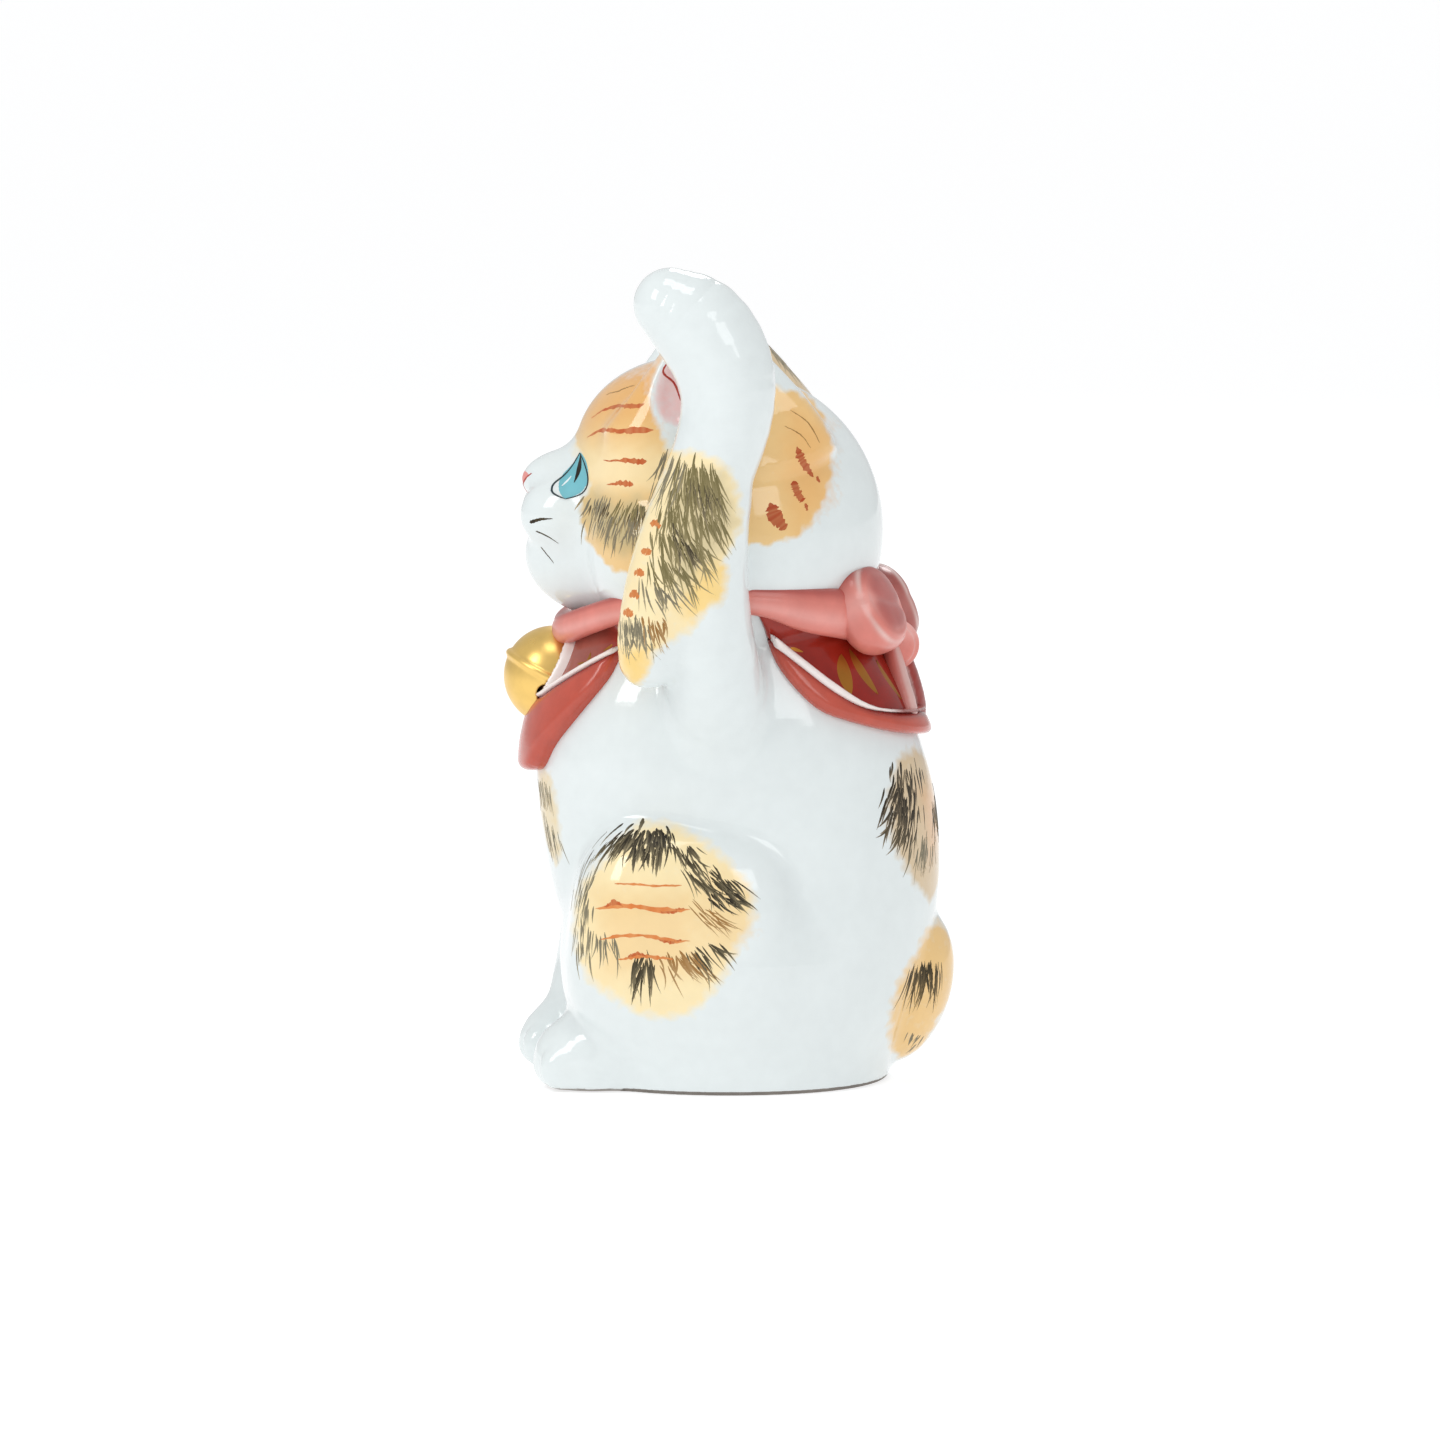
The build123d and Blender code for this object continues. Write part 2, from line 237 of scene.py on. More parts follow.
def ear(p, side):
    """A cone on the skull, cut off behind and hollowed at its outer side."""
    foot = EAR_FOOT * (side, 1, 1)
    axis = EAR_TIP * (side, 1, 1) - foot
    length = np.linalg.norm(axis)
    up = (axis / length).astype(p.dtype)
    q = p - foot.astype(p.dtype)
    t = (q @ up) / np.float32(length)
    off = q - (t * length)[:, None] * up
    shrink = np.clip(1 - t, 0, 1)
    half_x = 1.3 + 7.6 * shrink
    half_y = 1.5 + np.minimum(21.0 * shrink, 14.5)
    reach = np.sqrt((off[:, 0] / half_x) ** 2 + (off[:, 1] / half_y) ** 2)
    cone = (reach - 1) * np.minimum(half_x, half_y)
    cone = smooth_max(cone, np.maximum((t - 1) * length - 1, -t * length - 2), 1.5)
    behind = EAR_BACK[0] * p[:, 1] + EAR_BACK[1] * p[:, 2] - EAR_BACK[2]
    cone = smooth_max(cone, behind, 1.5)
    return smooth_max(cone, -ear_scoop(p, side), 0.8)


def ear_scoop(p, side):
    """The hollow of the ear."""
    return egg(p, (side * 24, -6.4, 105.4), (5.8, 6.4, 9), (-14, side * 14, 0))


def tail(p):
    return egg(p, (0, 25.6, 13.4), (9.4, 7.3, 11.8), (-16, 0, 0))


PARTS = {
    "torso_shell": torso,
    "head_shell": head,
    "left_ear": lambda p: ear(p, 1),
    "right_ear": lambda p: ear(p, -1),
    "raised_left_foreleg": raised_leg,
    "lowered_right_foreleg": lowered_leg,
    "left_hind_foot": lambda p: hind_foot(p, 1),
    "right_hind_foot": lambda p: hind_foot(p, -1),
    "tail": tail,
}


def seated(p):
    """The body without its raised leg; the haunches fade out towards the floor."""
    fade = 1.3 + 5 * np.clip((29 - p[:, 2]) / 10, 0, 1)
    d = smooth_min(torso(p), haunch(p, 1), fade)
    d = smooth_min(d, haunch(p, -1), fade)
    d = smooth_min(d, hind_foot(p, 1), 2.4)
    d = smooth_min(d, hind_foot(p, -1), 2.4)
    d = smooth_min(d, tail(p), 1.4)
    d = smooth_min(d, lowered_leg(p), 1.6)
    top = smooth_min(head(p), ear(p, 1), 1.8)
    top = smooth_min(top, ear(p, -1), 1.8)
    return smooth_min(d, top, 1.2)


def body(p):
    """The whole glazed body, its sections luted together with soft fillets."""
    d = smooth_min(seated(p), raised_leg(p), 1.6)
    d = smooth_max(d, -p[:, 2], 0.8)
    along = p[:, 1] - BASE_MIDDLE
    inner = np.sqrt((p[:, 0] / 20.6) ** 2 + (along / 20.2) ** 2)
    recess = smooth_max((inner - 1) * 20, p[:, 2] - FOOT_RECESS, 0.5)
    vent = np.maximum(np.hypot(p[:, 0], along) - VENT_RADIUS, p[:, 2] - VENT_TOP)
    hollow = egg(p, (0, BASE_MIDDLE, 16), (14, 14, 11))
    recess = np.minimum(recess, smooth_min(vent, hollow, 0.6))
    return smooth_max(d, -recess, 0.5)


# ---- from shape to mesh
def gradient(shape, p, step=0.04):
    g = np.empty_like(p)
    for axis in range(3):
        hop = np.zeros(3, p.dtype)
        hop[axis] = step
        g[:, axis] = (shape(p + hop) - shape(p - hop)) / (2 * step)
    return g


def settle(shape, p, rounds=3, reach=0.6):
    """Points moved onto the surface, and the directions out of it there."""
    p = p.astype(np.float32)
    for _ in range(rounds):
        g = gradient(shape, p)
        step = shape(p)[:, None] * g / ((g ** 2).sum(1) + 1e-6)[:, None]
        size = np.linalg.norm(step, axis=1, keepdims=True)
        p = p - step * np.minimum(1, reach / (size + 1e-9))
    g = gradient(shape, p)
    return p, g / (np.linalg.norm(g, axis=1, keepdims=True) + 1e-9)


def sampled(shape, low, high, pitch):
    """The shape on a grid, worked out in full only near its surface."""
    rough = 4
    counts = [int(math.ceil((high[i] - low[i]) / pitch)) + 1 for i in range(3)]
    coarse_axes = [low[i] + pitch * rough * np.arange(counts[i] // rough + 2) for i in range(3)]
    grid = np.stack(np.meshgrid(*coarse_axes, indexing="ij"), -1).reshape(-1, 3).astype(np.float32)
    coarse = np.concatenate([shape(part) for part in np.array_split(grid, 8)])
    fine = coarse.reshape([len(c) for c in coarse_axes])
    for axis in range(3):
        at = np.arange(counts[axis]) / rough
        i = at.astype(int)
        t = (at - i).reshape([-1 if a == axis else 1 for a in range(3)]).astype(np.float32)
        fine = np.take(fine, i, axis) * (1 - t) + np.take(fine, i + 1, axis) * t
    near = np.argwhere(np.abs(fine) < 1.2 * pitch * rough)
    where = (near * pitch + np.array(low)).astype(np.float32)
    values = np.concatenate([shape(part) for part in np.array_split(where, 16)])
    fine[tuple(near.T)] = values
    return fine


def surface_net(field, low, pitch):
    """Vertices and quads around the zero level of a sampled field."""
    inside = field < 0
    nx, ny, nz = (n - 1 for n in field.shape)
    corners = [tuple(c) for c in np.ndindex(2, 2, 2)]
    count = sum(inside[i:i + nx, j:j + ny, k:k + nz].astype(np.int8) for i, j, k in corners)
    cells = np.argwhere((count > 0) & (count < len(corners)))
    value = {c: field[tuple((cells + c).T)] for c in corners}
    total = np.zeros((len(cells), 3))
    hits = np.zeros(len(cells))
    for a in corners:
        for axis in range(3):
            if a[axis]:
                continue
            b = tuple(1 if i == axis else a[i] for i in range(3))
            cross = (value[a] < 0) != (value[b] < 0)
            t = np.where(cross, value[a] / np.where(cross, value[a] - value[b], 1), 0)
            spot = np.array(a, float) + t[:, None] * np.eye(3)[axis]
            total += np.where(cross[:, None], spot, 0)
            hits += cross
    points = (cells + total / hits[:, None]) * pitch + np.array(low)
    number = np.full((nx, ny, nz), -1, np.int32)
    number[tuple(cells.T)] = np.arange(len(cells))
    quads = []
    for axis in range(3):
        u, v = [a for a in range(3) if a != axis]
        at = np.argwhere(np.diff(inside, axis=axis))
        ends = np.array(field.shape)[[u, v]] - 1
        at = at[((at[:, [u, v]] > 0) & (at[:, [u, v]] < ends)).all(1)]
        ring = []
        for du, dv in ((0, 0), (-1, 0), (-1, -1), (0, -1)):
            cell = at.copy()
            cell[:, u] += du
            cell[:, v] += dv
            ring.append(number[tuple(cell.T)])
        quads.append(np.stack(ring, 1))
    return points, np.vstack(quads)


def faced(points, quads, normals):
    """Quads turned so that they face the way their corners' normals do."""
    a, b, c, d = (points[quads[:, i]] for i in range(4))
    facing = np.cross(c - a, d - b)
    wrong = (facing * normals[quads].sum(1)).sum(1) < 0
    quads[wrong] = quads[wrong][:, ::-1]
    return quads


def meshed(shape, low, high, pitch):
    """Closed quad mesh of a shape inside a box, with smooth normals."""
    pitch = pitch
    field = sampled(shape, low, high, pitch)
    points, quads = surface_net(field, low, pitch)
    points, normals = settle(shape, points, reach=pitch)
    return points, faced(points, quads, normals), normals


def islands(count, links):
    """A label for each of count items that is the same where links join them."""
    label = np.arange(count)
    while True:
        low = np.minimum(label[links[:, 0]], label[links[:, 1]])
        fresh = label.copy()
        np.minimum.at(fresh, links[:, 0], low)
        np.minimum.at(fresh, links[:, 1], low)
        fresh = fresh[fresh]
        if (fresh == label).all():
            return label
        label = fresh


def face_links(quads):
    """Pairs of faces that share an edge."""
    edges = np.sort(np.stack([quads, np.roll(quads, -1, 1)], 2).reshape(-1, 2), 1)
    face = np.repeat(np.arange(len(quads)), quads.shape[1])
    key = edges[:, 0].astype(np.int64) * (edges.max() + 1) + edges[:, 1]
    order = np.argsort(key, kind="stable")
    same = key[order][1:] == key[order][:-1]
    return np.stack([face[order][:-1][same], face[order][1:][same]], 1)


def tidy_owners(owner, links):
    """Owner of each face once stray bits have gone to the piece around them."""
    a, b = links.T
    most_rounds = 8
    for _ in range(most_rounds):
        label = islands(len(owner), links[owner[a] == owner[b]])
        size = np.bincount(label, minlength=len(owner))
        main = [label[owner == k][np.argmax(size[label[owner == k]])] for k in np.unique(owner)]
        stray = ~np.isin(label, main)
        if not stray.any():
            break
        for inner, outer in ((a, b), (b, a)):
            take = stray[inner] & ~stray[outer]
            new_owner = np.full(len(owner), -1)
            new_owner[label[inner[take]]] = owner[outer[take]]
            given = new_owner[label]
            owner = np.where(stray & (given >= 0), given, owner)
    return owner


def capped(points, faces, normals):
    """Triangles of a piece whose open edges are closed by fans inside the body."""
    tris = np.vstack([faces[:, [0, 1, 2]], faces[:, [0, 2, 3]]])
    edges = np.stack([faces, np.roll(faces, -1, 1)], 2).reshape(-1, 2)
    key = np.sort(edges, 1)
    code = key[:, 0].astype(np.int64) * len(points) + key[:, 1]
    _, where, times = np.unique(code, return_inverse=True, return_counts=True)
    rim = edges[times[where] == 1]
    label = islands(len(points), rim)
    for k in np.unique(label[rim[:, 0]]):
        own = rim[label[rim[:, 0]] == k]
        centre = points[own[:, 0]].mean(0)
        hub = len(points)
        points = np.vstack([points, centre])
        normals = np.vstack([normals, [0, 0, 1]])
        fan = np.stack([own[:, 1], own[:, 0], np.full(len(own), hub)], 1)
        tris = np.vstack([tris, fan])
    return points, tris, normals


def link(data, name):
    obj = bpy.data.objects.new(name, data)
    bpy.context.collection.objects.link(obj)
    return obj


def piece(name, points, faces, normals, paint, material, slot, replaces=None):
    """A mesh piece that rides on the body, with painted colours at its points."""
    mesh = bpy.data.meshes.new(name)
    mesh.vertices.add(len(points))
    mesh.vertices.foreach_set("co", (points * MM + ORIGIN).astype(np.float32).ravel())
    sides = faces.shape[1]
    mesh.loops.add(faces.size)
    mesh.loops.foreach_set("vertex_index", faces.astype(np.int32).ravel())
    mesh.polygons.add(len(faces))
    mesh.polygons.foreach_set("loop_start", np.arange(0, faces.size, sides, dtype=np.int32))
    mesh.update(calc_edges=True)
    mesh.shade_smooth()
    if normals is not None:
        mesh.normals_split_custom_set_from_vertices(normals.astype(np.float32))
    if paint is not None:
        colours = mesh.color_attributes.new(name="paint", type="FLOAT_COLOR", domain="POINT")
        colours.data.foreach_set("color", paint.astype(np.float32).ravel())
    mesh.materials.append(material)
    obj = link(mesh, name)
    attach(obj, "root")
    if replaces:
        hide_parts(replaces)
    return obj


# ---- trim: kerchief, band, bow, bell
UNROLL = 22.0                 # the kerchief's outline is drawn on a cylinder of this radius
# kerchief outlines from the middle outwards: distance round the body, height
FRONT_OUTER = ((0, 45.2), (3.2, 45.4), (6.4, 46.4), (8.9, 49.9), (12.6, 54.6), (15.9, 59.8), (17, 64.2),
               (19.6, 70))
FRONT_INNER = ((0, 55), (4.5, 56.7), (6.5, 57.6), (12.1, 61.4), (16.2, 63.9), (21, 66.6))
BACK_OUTER = ((0, 50.4), (6.7, 51.2), (11.2, 52.1), (16.4, 53.7), (21.4, 56), (25.9, 61.4), (27.8, 66),
              (30.5, 70.5), (32, 74))
BACK_INNER = ((0, 54.2), (9, 54.8), (14.8, 56), (19.2, 59), (23.3, 62.7), (27, 65.6), (33, 69))
KERCHIEF_TOP = 72.0
PANEL_DEPTH = 1.0             # how far the panels stand out from the body
BELL_CENTRE = (0, -25.5, 59)
BELL_RADIUS = 7.3
BELL_LEAN = -28.0
BELL_RING = 8.2               # radius of the raised line round the bell
# neck band: x, y, z, half height, half thickness
BAND_HALF = (
    (0, -24, 65.9, 2.2, 1.7),
    (6, -23.2, 66.5, 2.2, 1.7),
    (11.5, -20, 68.2, 2.1, 1.7),
    (16.6, -14.8, 70.2, 2, 1.7),
    (20.4, -7, 71.2, 1.9, 1.8),
    (21.5, 0, 71.8, 1.9, 1.8),
    (20.8, 5.5, 71.5, 2.2, 1.8),
    (18.3, 11.5, 70.2, 3.2, 1.9),
    (14, 16.8, 69.2, 3.6, 2),
    (7.4, 20.8, 67.6, 3.3, 2),
    (0, 22.4, 66.2, 2.7, 1.8),
)


def polygon_distance(q, ring):
    """Signed distance in the plane to a closed polygon, negative inside."""
    q = q.astype(np.float32)
    ring = np.array(ring, np.float32)
    best = np.full(len(q), 1e9, np.float32)
    inside = np.zeros(len(q), bool)
    for a, b in zip(ring, np.roll(ring, -1, 0)):
        run = b - a
        off = q - a
        t = np.clip(off @ run / (run @ run + 1e-9), 0, 1)
        best = np.minimum(best, ((off - t[:, None] * run) ** 2).sum(1))
        crosses = (a[1] > q[:, 1]) != (b[1] > q[:, 1])
        inside ^= crosses & (q[:, 0] < run[0] * (q[:, 1] - a[1]) / (run[1] + 1e-9) + a[0])
    return np.sqrt(best) * np.where(inside, -1, 1)


def outline_distance(q, outline):
    """Signed distance to a smooth outline that is given for one side of the middle."""
    half = smooth_path([(*at, 0) for at in outline], 4)[:, :2]
    ring = np.vstack([half, [half[-1][0], KERCHIEF_TOP + 4]])
    return polygon_distance(q, np.vstack([ring, ring[::-1] * (-1, 1)])[:-1])


def unrolled(p, side):
    """Distance round the body from the middle of the chest (-1) or back (+1), and height."""
    around = np.arctan2(p[:, 0], side * p[:, 1]) * UNROLL
    return np.stack([around, p[:, 2]], 1).astype(np.float32)


def kerchief(kind, side):
    """Shape of one part of the kerchief's front (-1) or back (+1) half."""
    outer, inner = (FRONT_OUTER, FRONT_INNER) if side < 0 else (BACK_OUTER, BACK_INNER)

    def shape(p):
        skin = seated(p)
        q = unrolled(p, side)
        hem = outline_distance(q, outer)
        seam = outline_distance(q, inner)
        if kind == "panel":
            d = smooth_max(skin - PANEL_DEPTH, np.maximum(seam, hem), 0.5)
        elif kind == "border":
            sag = np.clip((60 - p[:, 2]) / 10, 0, 1) if side < 0 else 0
            roll = 1.9 + 0.2 * sag
            d = smooth_max(skin - roll, np.maximum(hem, -seam), 1.6)
        else:
            width = 0.38 if side < 0 else 0.24 + 0.4 * np.clip((np.abs(q[:, 0]) - 13) / 6, 0, 1)
            line = np.maximum(np.abs(seam) - width, hem + 0.3)
            if side < 0:
                ring = np.abs(np.hypot(p[:, 0], p[:, 2] - BELL_CENTRE[2]) - BELL_RING) - 0.32
                line = np.minimum(line, np.maximum(ring, seam - 0.4))
            d = smooth_max(skin - 2.3, line, 0.7)
        d = np.maximum(d, -skin - 0.7)
        band = np.interp(p[:, 1], [at[1] for at in BAND_HALF], [at[2] for at in BAND_HALF])
        return np.maximum(d, p[:, 2] - band.astype(p.dtype))
    return shape


def bell(p):
    """A round bell with a seam round its middle and a slit mouth that ends in two holes."""
    q = (p - np.array(BELL_CENTRE, p.dtype)) @ rotation((BELL_LEAN, 0, 0)).astype(p.dtype)
    r = np.sqrt((q ** 2).sum(1))
    ball = r - BELL_RADIUS
    seam = np.hypot(np.hypot(q[:, 0], q[:, 1]) - BELL_RADIUS, q[:, 2]) - 0.5
    d = smooth_min(ball, seam, 0.5)
    slit = np.maximum(np.abs(q[:, 1]) - 0.45, q[:, 2] + 0.6)
    holes = np.hypot(q[:, 1], q[:, 2] + 2.3) - 1.25
    mouth = np.maximum(smooth_min(slit, holes, 0.3), 5.6 - r)
    return smooth_max(d, -mouth, 0.35)


def loop(centre, radii, turn, rim_at):
    """A puffed bow loop with a thin raised rim round its back edge."""
    def shape(p):
        q = (p - np.array(centre, p.dtype)) @ rotation(turn).astype(p.dtype)
        pillow = puffed(q, radii, 2.6)
        shrink = math.sqrt(1 - (rim_at / radii[1]) ** 2)
        a, c = radii[0] * shrink, radii[2] * shrink
        flat = np.hypot(q[:, 0] / a, q[:, 2] / c) + 1e-6
        rim = np.hypot((flat - 1) * min(a, c), q[:, 1] - rim_at) - 0.45
        pleat = 0.3 * np.exp(-((q[:, 2] - 0.2 * q[:, 0]) / 0.8) ** 2) * np.clip(q[:, 1] / radii[1], 0, 1)
        return smooth_min(pillow + pleat, rim, 0.6)
    return shape


def ribbon(stations, flatness):
    """A flat ribbon end that hangs along its stations."""
    path = smooth_path(stations)

    def shape(p):
        q = p * np.array((1, flatness, 1), p.dtype)
        scaled = path * np.array((1, flatness, 1, 1))
        return limb(q, scaled) / flatness
    return shape


# bow loops: centre, radii, turn, where the rim lies
LEFT_LOOP = ((9.6, 20.4, 69.4), (7.6, 3.9, 6.7), (24, -10, -18), 2.5)
RIGHT_LOOP = ((-8.6, 22.6, 68.6), (7.8, 3.8, 6.2), (20, 10, 20), 2.2)


def knot(p):
    """The bow's knot, with fine pleats on its outer side."""
    pleats = 0.14 * np.cos(p[:, 0] * 3.4) * np.clip((p[:, 1] - 23) / 2, 0, 1)
    return egg(p, (0.4, 24, 63.6), (3.6, 4, 3.8), (12, 0, 0)) + pleats


LEFT_RIBBON = ribbon(((2.6, 23.8, 63, 2.2), (4.2, 25, 58, 2.5), (5.4, 26.1, 54.2, 2.5),
                      (5.8, 26.4, 52.8, 1.4)), 1.5)
RIGHT_RIBBON = ribbon(((-1.2, 25.2, 63, 2), (-2.6, 26.9, 58, 2.5), (-3.8, 27.9, 54, 2.6),
                       (-4.2, 28.1, 52.8, 1.5)), 2)


# ---- colours
def linear(*rgb):
    """Scene colour of an sRGB colour given in 0..255."""
    c = np.array(rgb, float) / 255
    return np.where(c <= 0.04045, c / 12.92, ((c + 0.055) / 1.055) ** 2.4)


PANEL_RED = linear(150, 26, 12)
PANEL_LIGHT = linear(176, 66, 48)
# pale pink of a painted reflection on the front panel
PANEL_REFLECTION_PINK = linear(176, 118, 104)
CORAL = linear(194, 82, 64)
ROSE = linear(222, 128, 116)
# painted shade and painted highlights on the pink ribbon enamel
ROSE_PAINTED_SHADE = linear(168, 66, 60)
ROSE_PAINTED_HIGHLIGHT = linear(240, 176, 168)
ROSE_SHADE = linear(150, 72, 66)
# one ribbon red painted as a lit copy and a shaded copy for the two hanging ends
LEFT_RIBBON_LIT_RED = linear(198, 108, 98)
RIGHT_RIBBON_SHADED_RED = linear(150, 34, 20)
PALE_RIM_HIGHLIGHT = linear(240, 220, 214)
# white of the raised lines: a painted highlight of the glaze along their ridges
WHITE_LINE_HIGHLIGHT = linear(246, 236, 232)
GILT = linear(246, 206, 120)
GILT_DARK = linear(110, 62, 20)


def solid(points, colour):
    paint = np.ones((len(points), 4))
    paint[:, :3] = colour
    return paint


def mixed(paint, colour, share):
    """Paint with a share of another colour worked into it."""
    share = np.broadcast_to(np.clip(share, 0, 1), len(paint))[:, None]
    paint[:, :3] = paint[:, :3] * (1 - share) + colour * share
    return paint


def ramp(value, low, high):
    """0 below low, 1 above high, and a soft step between them."""
    t = np.clip((value - low) / (high - low), 0, 1)
    return t * t * (3 - 2 * t)


# ---- painted patches
TAN = linear(238, 200, 138)
CREAM = linear(249, 229, 180)
ORANGE = linear(232, 172, 98)
YELLOW = linear(246, 206, 112)
SOOT = linear(190, 176, 134)
GREY_TAN = linear(216, 193, 158)
PEACH = linear(234, 176, 122)
EAR_PINK = linear(244, 190, 186)
BLACK = linear(34, 28, 18)
DARK = linear(58, 51, 34)
OLIVE = linear(118, 108, 68)
GREY = linear(122, 116, 96)
BROWN = linear(160, 116, 62)
RUST = linear(196, 92, 44)
RED_BROWN = linear(178, 74, 36)
STRIPE = linear(222, 128, 66)
RED_LINE = linear(176, 52, 48)
TURQUOISE = linear(120, 190, 202)
LEAF = linear(178, 118, 44)

# Each view: which way a mark is seen from, and how its two numbers lie in space.
VIEWS = {
    "left": (np.array((0, 1, 0)), np.array((1, 0, 0))),
    "right": (np.array((0, 1, 0)), np.array((-1, 0, 0))),
    "front": (np.array((1, 0, 0)), np.array((0, -1, 0))),
    "back": (np.array((1, 0, 0)), np.array((0, 1, 0))),
}

# outlines of the patches, in the view that each is washed on in
HEAD_PATCH = ((-12.6, 103), (-15, 102.8), (-19.4, 100.6), (-21.8, 97.4), (-22.4, 94.3),
              (-21.2, 91.6), (-20.4, 89.4), (-19.7, 86.6), (-20.9, 85.8), (-21.2, 82.7), (-20.3, 79.9),
              (-18.5, 77.8), (-16.5, 76.1), (-13.5, 75.2), (-9, 82), (-7.6, 90), (-9, 94),
              (-10.6, 98), (-11.6, 101))
SOOT_PATCH = ((-20.8, 85), (-18.8, 87), (-16.4, 85.4), (-13, 86.4), (-9.6, 84.4), (-11.6, 79.4),
              (-15, 78.6), (-18.6, 80.6), (-20.6, 82.8))
BEHIND_PATCH = ((6, 102.9), (10, 101.5), (12.6, 99.6), (14.3, 96.6), (15.1, 93.2), (14.9, 89.4),
                (13.4, 85.2), (11.8, 82.7), (9.5, 80.9), (5.6, 80), (2.5, 80.2), (1, 88),
                (3, 97))
ARM_PATCH = ((-8.6, 94), (-10.6, 88.5), (-12.6, 83.7), (-14.6, 78.3), (-16.6, 73.3), (-18, 68),
             (-17, 64), (-15, 61.8), (-13.2, 60.2), (-12, 61.8), (-10.4, 65.2), (-5.2, 68.4),
             (-3.4, 71.8), (-1.4, 72.8), (-0.4, 75.2), (-0.7, 78.1), (0.5, 80), (2, 83.8),
             (1.7, 87.7), (0.8, 90.7), (-0.8, 92.8), (-4, 94.4))
HAUNCH_PATCH = ((-20.4, 31.6), (-18, 34.4), (-16.1, 36.8), (-12.2, 39.8), (-7.4, 39.4), (-3.4, 37.4),
                (0, 34.6), (2.2, 32.2), (3.4, 29.7), (3.6, 26.4), (1.4, 22.7), (-0.6, 18),
                (-3, 14.6), (-5.4, 12.6), (-8.8, 11.8), (-12.7, 12.4), (-16.4, 14.6), (-19.8, 16.8),
                (-21.4, 19.7), (-22.4, 24), (-22, 28.4))
BACK_PATCH = ((12.2, 48.2), (15.2, 43.3), (16, 37.6), (15, 33.7), (12.4, 29.5), (8, 26.4),
              (3, 28.5), (-2, 33), (-4.2, 40), (0, 46.4), (7, 49.2))
TAIL_PATCH = ((30.9, 23.4), (34, 20), (34, 13), (30.6, 7.9), (28.4, 3.6), (25.2, 2.8),
              (23.5, 5.6), (23.7, 11.3), (24.9, 15.4), (27.6, 19.3), (29, 22.1))
CHEST_PATCH = ((4.2, 46), (9.4, 45.6), (10.8, 40.9), (10.4, 34), (7.4, 31.6), (4, 35),
               (2.6, 41))
SHOULDER_PATCH = ((-12, 60), (-4, 61), (2, 56), (4, 47), (-1, 40), (-9, 39),
                  (-16, 44), (-17, 53))
CROWN_PATCH = ((-4, 103), (6, 103), (14, 97), (17, 88), (12, 80), (2, 80),
               (-6, 88), (-8, 97))
RUMP_PATCH = ((4, 30), (12, 33), (20, 27), (20, 17), (13, 11), (5, 15),
              (2, 22))
HAUNCH_MIDDLE = ((-19, 30), (-5, 30.4), (-4.6, 18.6), (-18, 18.2))
LEFT_HEAD = ("head_shell", "left_ear")
RIGHT_HEAD = ("head_shell", "right_ear")
RAISED = ("raised_left_foreleg",)
BODY_PIECES = ("torso_shell", "left_hind_foot", "right_hind_foot", "tail", "lowered_right_foreleg")
# soft washes of colour: view, pieces, outline in that view, softness, colour, strength
WASHES = (
    ("left", LEFT_HEAD, HEAD_PATCH, 0.5, TAN, 0.95),
    ("left", LEFT_HEAD, ((-24, 95.5), (-8, 97.5), (-4, 108), (-24, 106)), 3, ORANGE, 0.7),
    ("left", LEFT_HEAD, ((-22, 93), (-8, 93.6), (-8, 87.5), (-21, 87.5)), 2.4, CREAM, 0.75),
    ("left", ("head_shell",), SOOT_PATCH, 2.2, SOOT, 0.85),
    ("left", LEFT_HEAD, BEHIND_PATCH, 0.5, TAN, 0.95),
    ("left", LEFT_HEAD, ((9, 100), (15, 96), (15, 86), (10, 82), (8, 90)), 3, ORANGE, 0.55),
    ("left", RAISED, ARM_PATCH, 1, CREAM, 0.9),
    ("left", RAISED, ((-7, 91), (-0.8, 91.4), (1.4, 84), (-2, 79), (-6, 74), (-9, 78), (-8, 86)), 1.8, SOOT, 0.6),
    ("left", RAISED, ((-3.2, 78), (-0.4, 78), (-0.6, 73), (-5, 70), (-7, 72)), 1.8, YELLOW, 0.7),
    ("left", RAISED, ((-16, 65.4), (-11, 66), (-12, 61), (-14, 59.6)), 1.6, YELLOW, 0.75),
    ("left", BODY_PIECES, HAUNCH_PATCH, 1.4, CREAM, 0.92),
    ("left", BODY_PIECES, HAUNCH_MIDDLE, 3, TAN, 0.6),
    ("left", BODY_PIECES, ((-3, 33), (3, 31), (3.4, 24), (-2, 20), (-4.6, 26)), 3, TAN, 0.5),
    ("left", BODY_PIECES, TAIL_PATCH, 1, TAN, 0.92),
    ("back", BODY_PIECES, BACK_PATCH, 1.2, GREY_TAN, 0.92),
    ("back", BODY_PIECES, ((2, 44), (9, 43), (8, 33), (0, 36)), 3, PEACH, 0.55),
    ("front", BODY_PIECES, CHEST_PATCH, 1.2, linear(230, 212, 172), 0.85),
    ("right", BODY_PIECES, HAUNCH_PATCH, 1.4, CREAM, 0.92),
    ("right", BODY_PIECES, HAUNCH_MIDDLE, 3, TAN, 0.6),
    ("right", ("torso_shell", "lowered_right_foreleg"), SHOULDER_PATCH, 1.2, GREY_TAN, 0.9),
    ("right", RIGHT_HEAD, CROWN_PATCH, 0.6, TAN, 0.95),
    ("right", RIGHT_HEAD, ((-2, 100), (10, 98), (14, 90), (4, 88)), 3, ORANGE, 0.55),
    ("right", ("torso_shell",), RUMP_PATCH, 1.2, TAN, 0.9),
    ("back", ("right_ear",), ((-30, 96), (0, 96), (0, 120), (-30, 120)), 2, GREY_TAN, 0.92),
)


def washed(paint, colour, share):
    """Paint with a wash laid over it; alpha is how much of the white glaze is covered."""
    alpha = share + paint[:, 3] * (1 - share)
    mix = (share / np.maximum(alpha, 1e-6))[:, None]
    paint[:, :3] = paint[:, :3] * (1 - mix) + colour * mix
    paint[:, 3] = alpha
    return paint


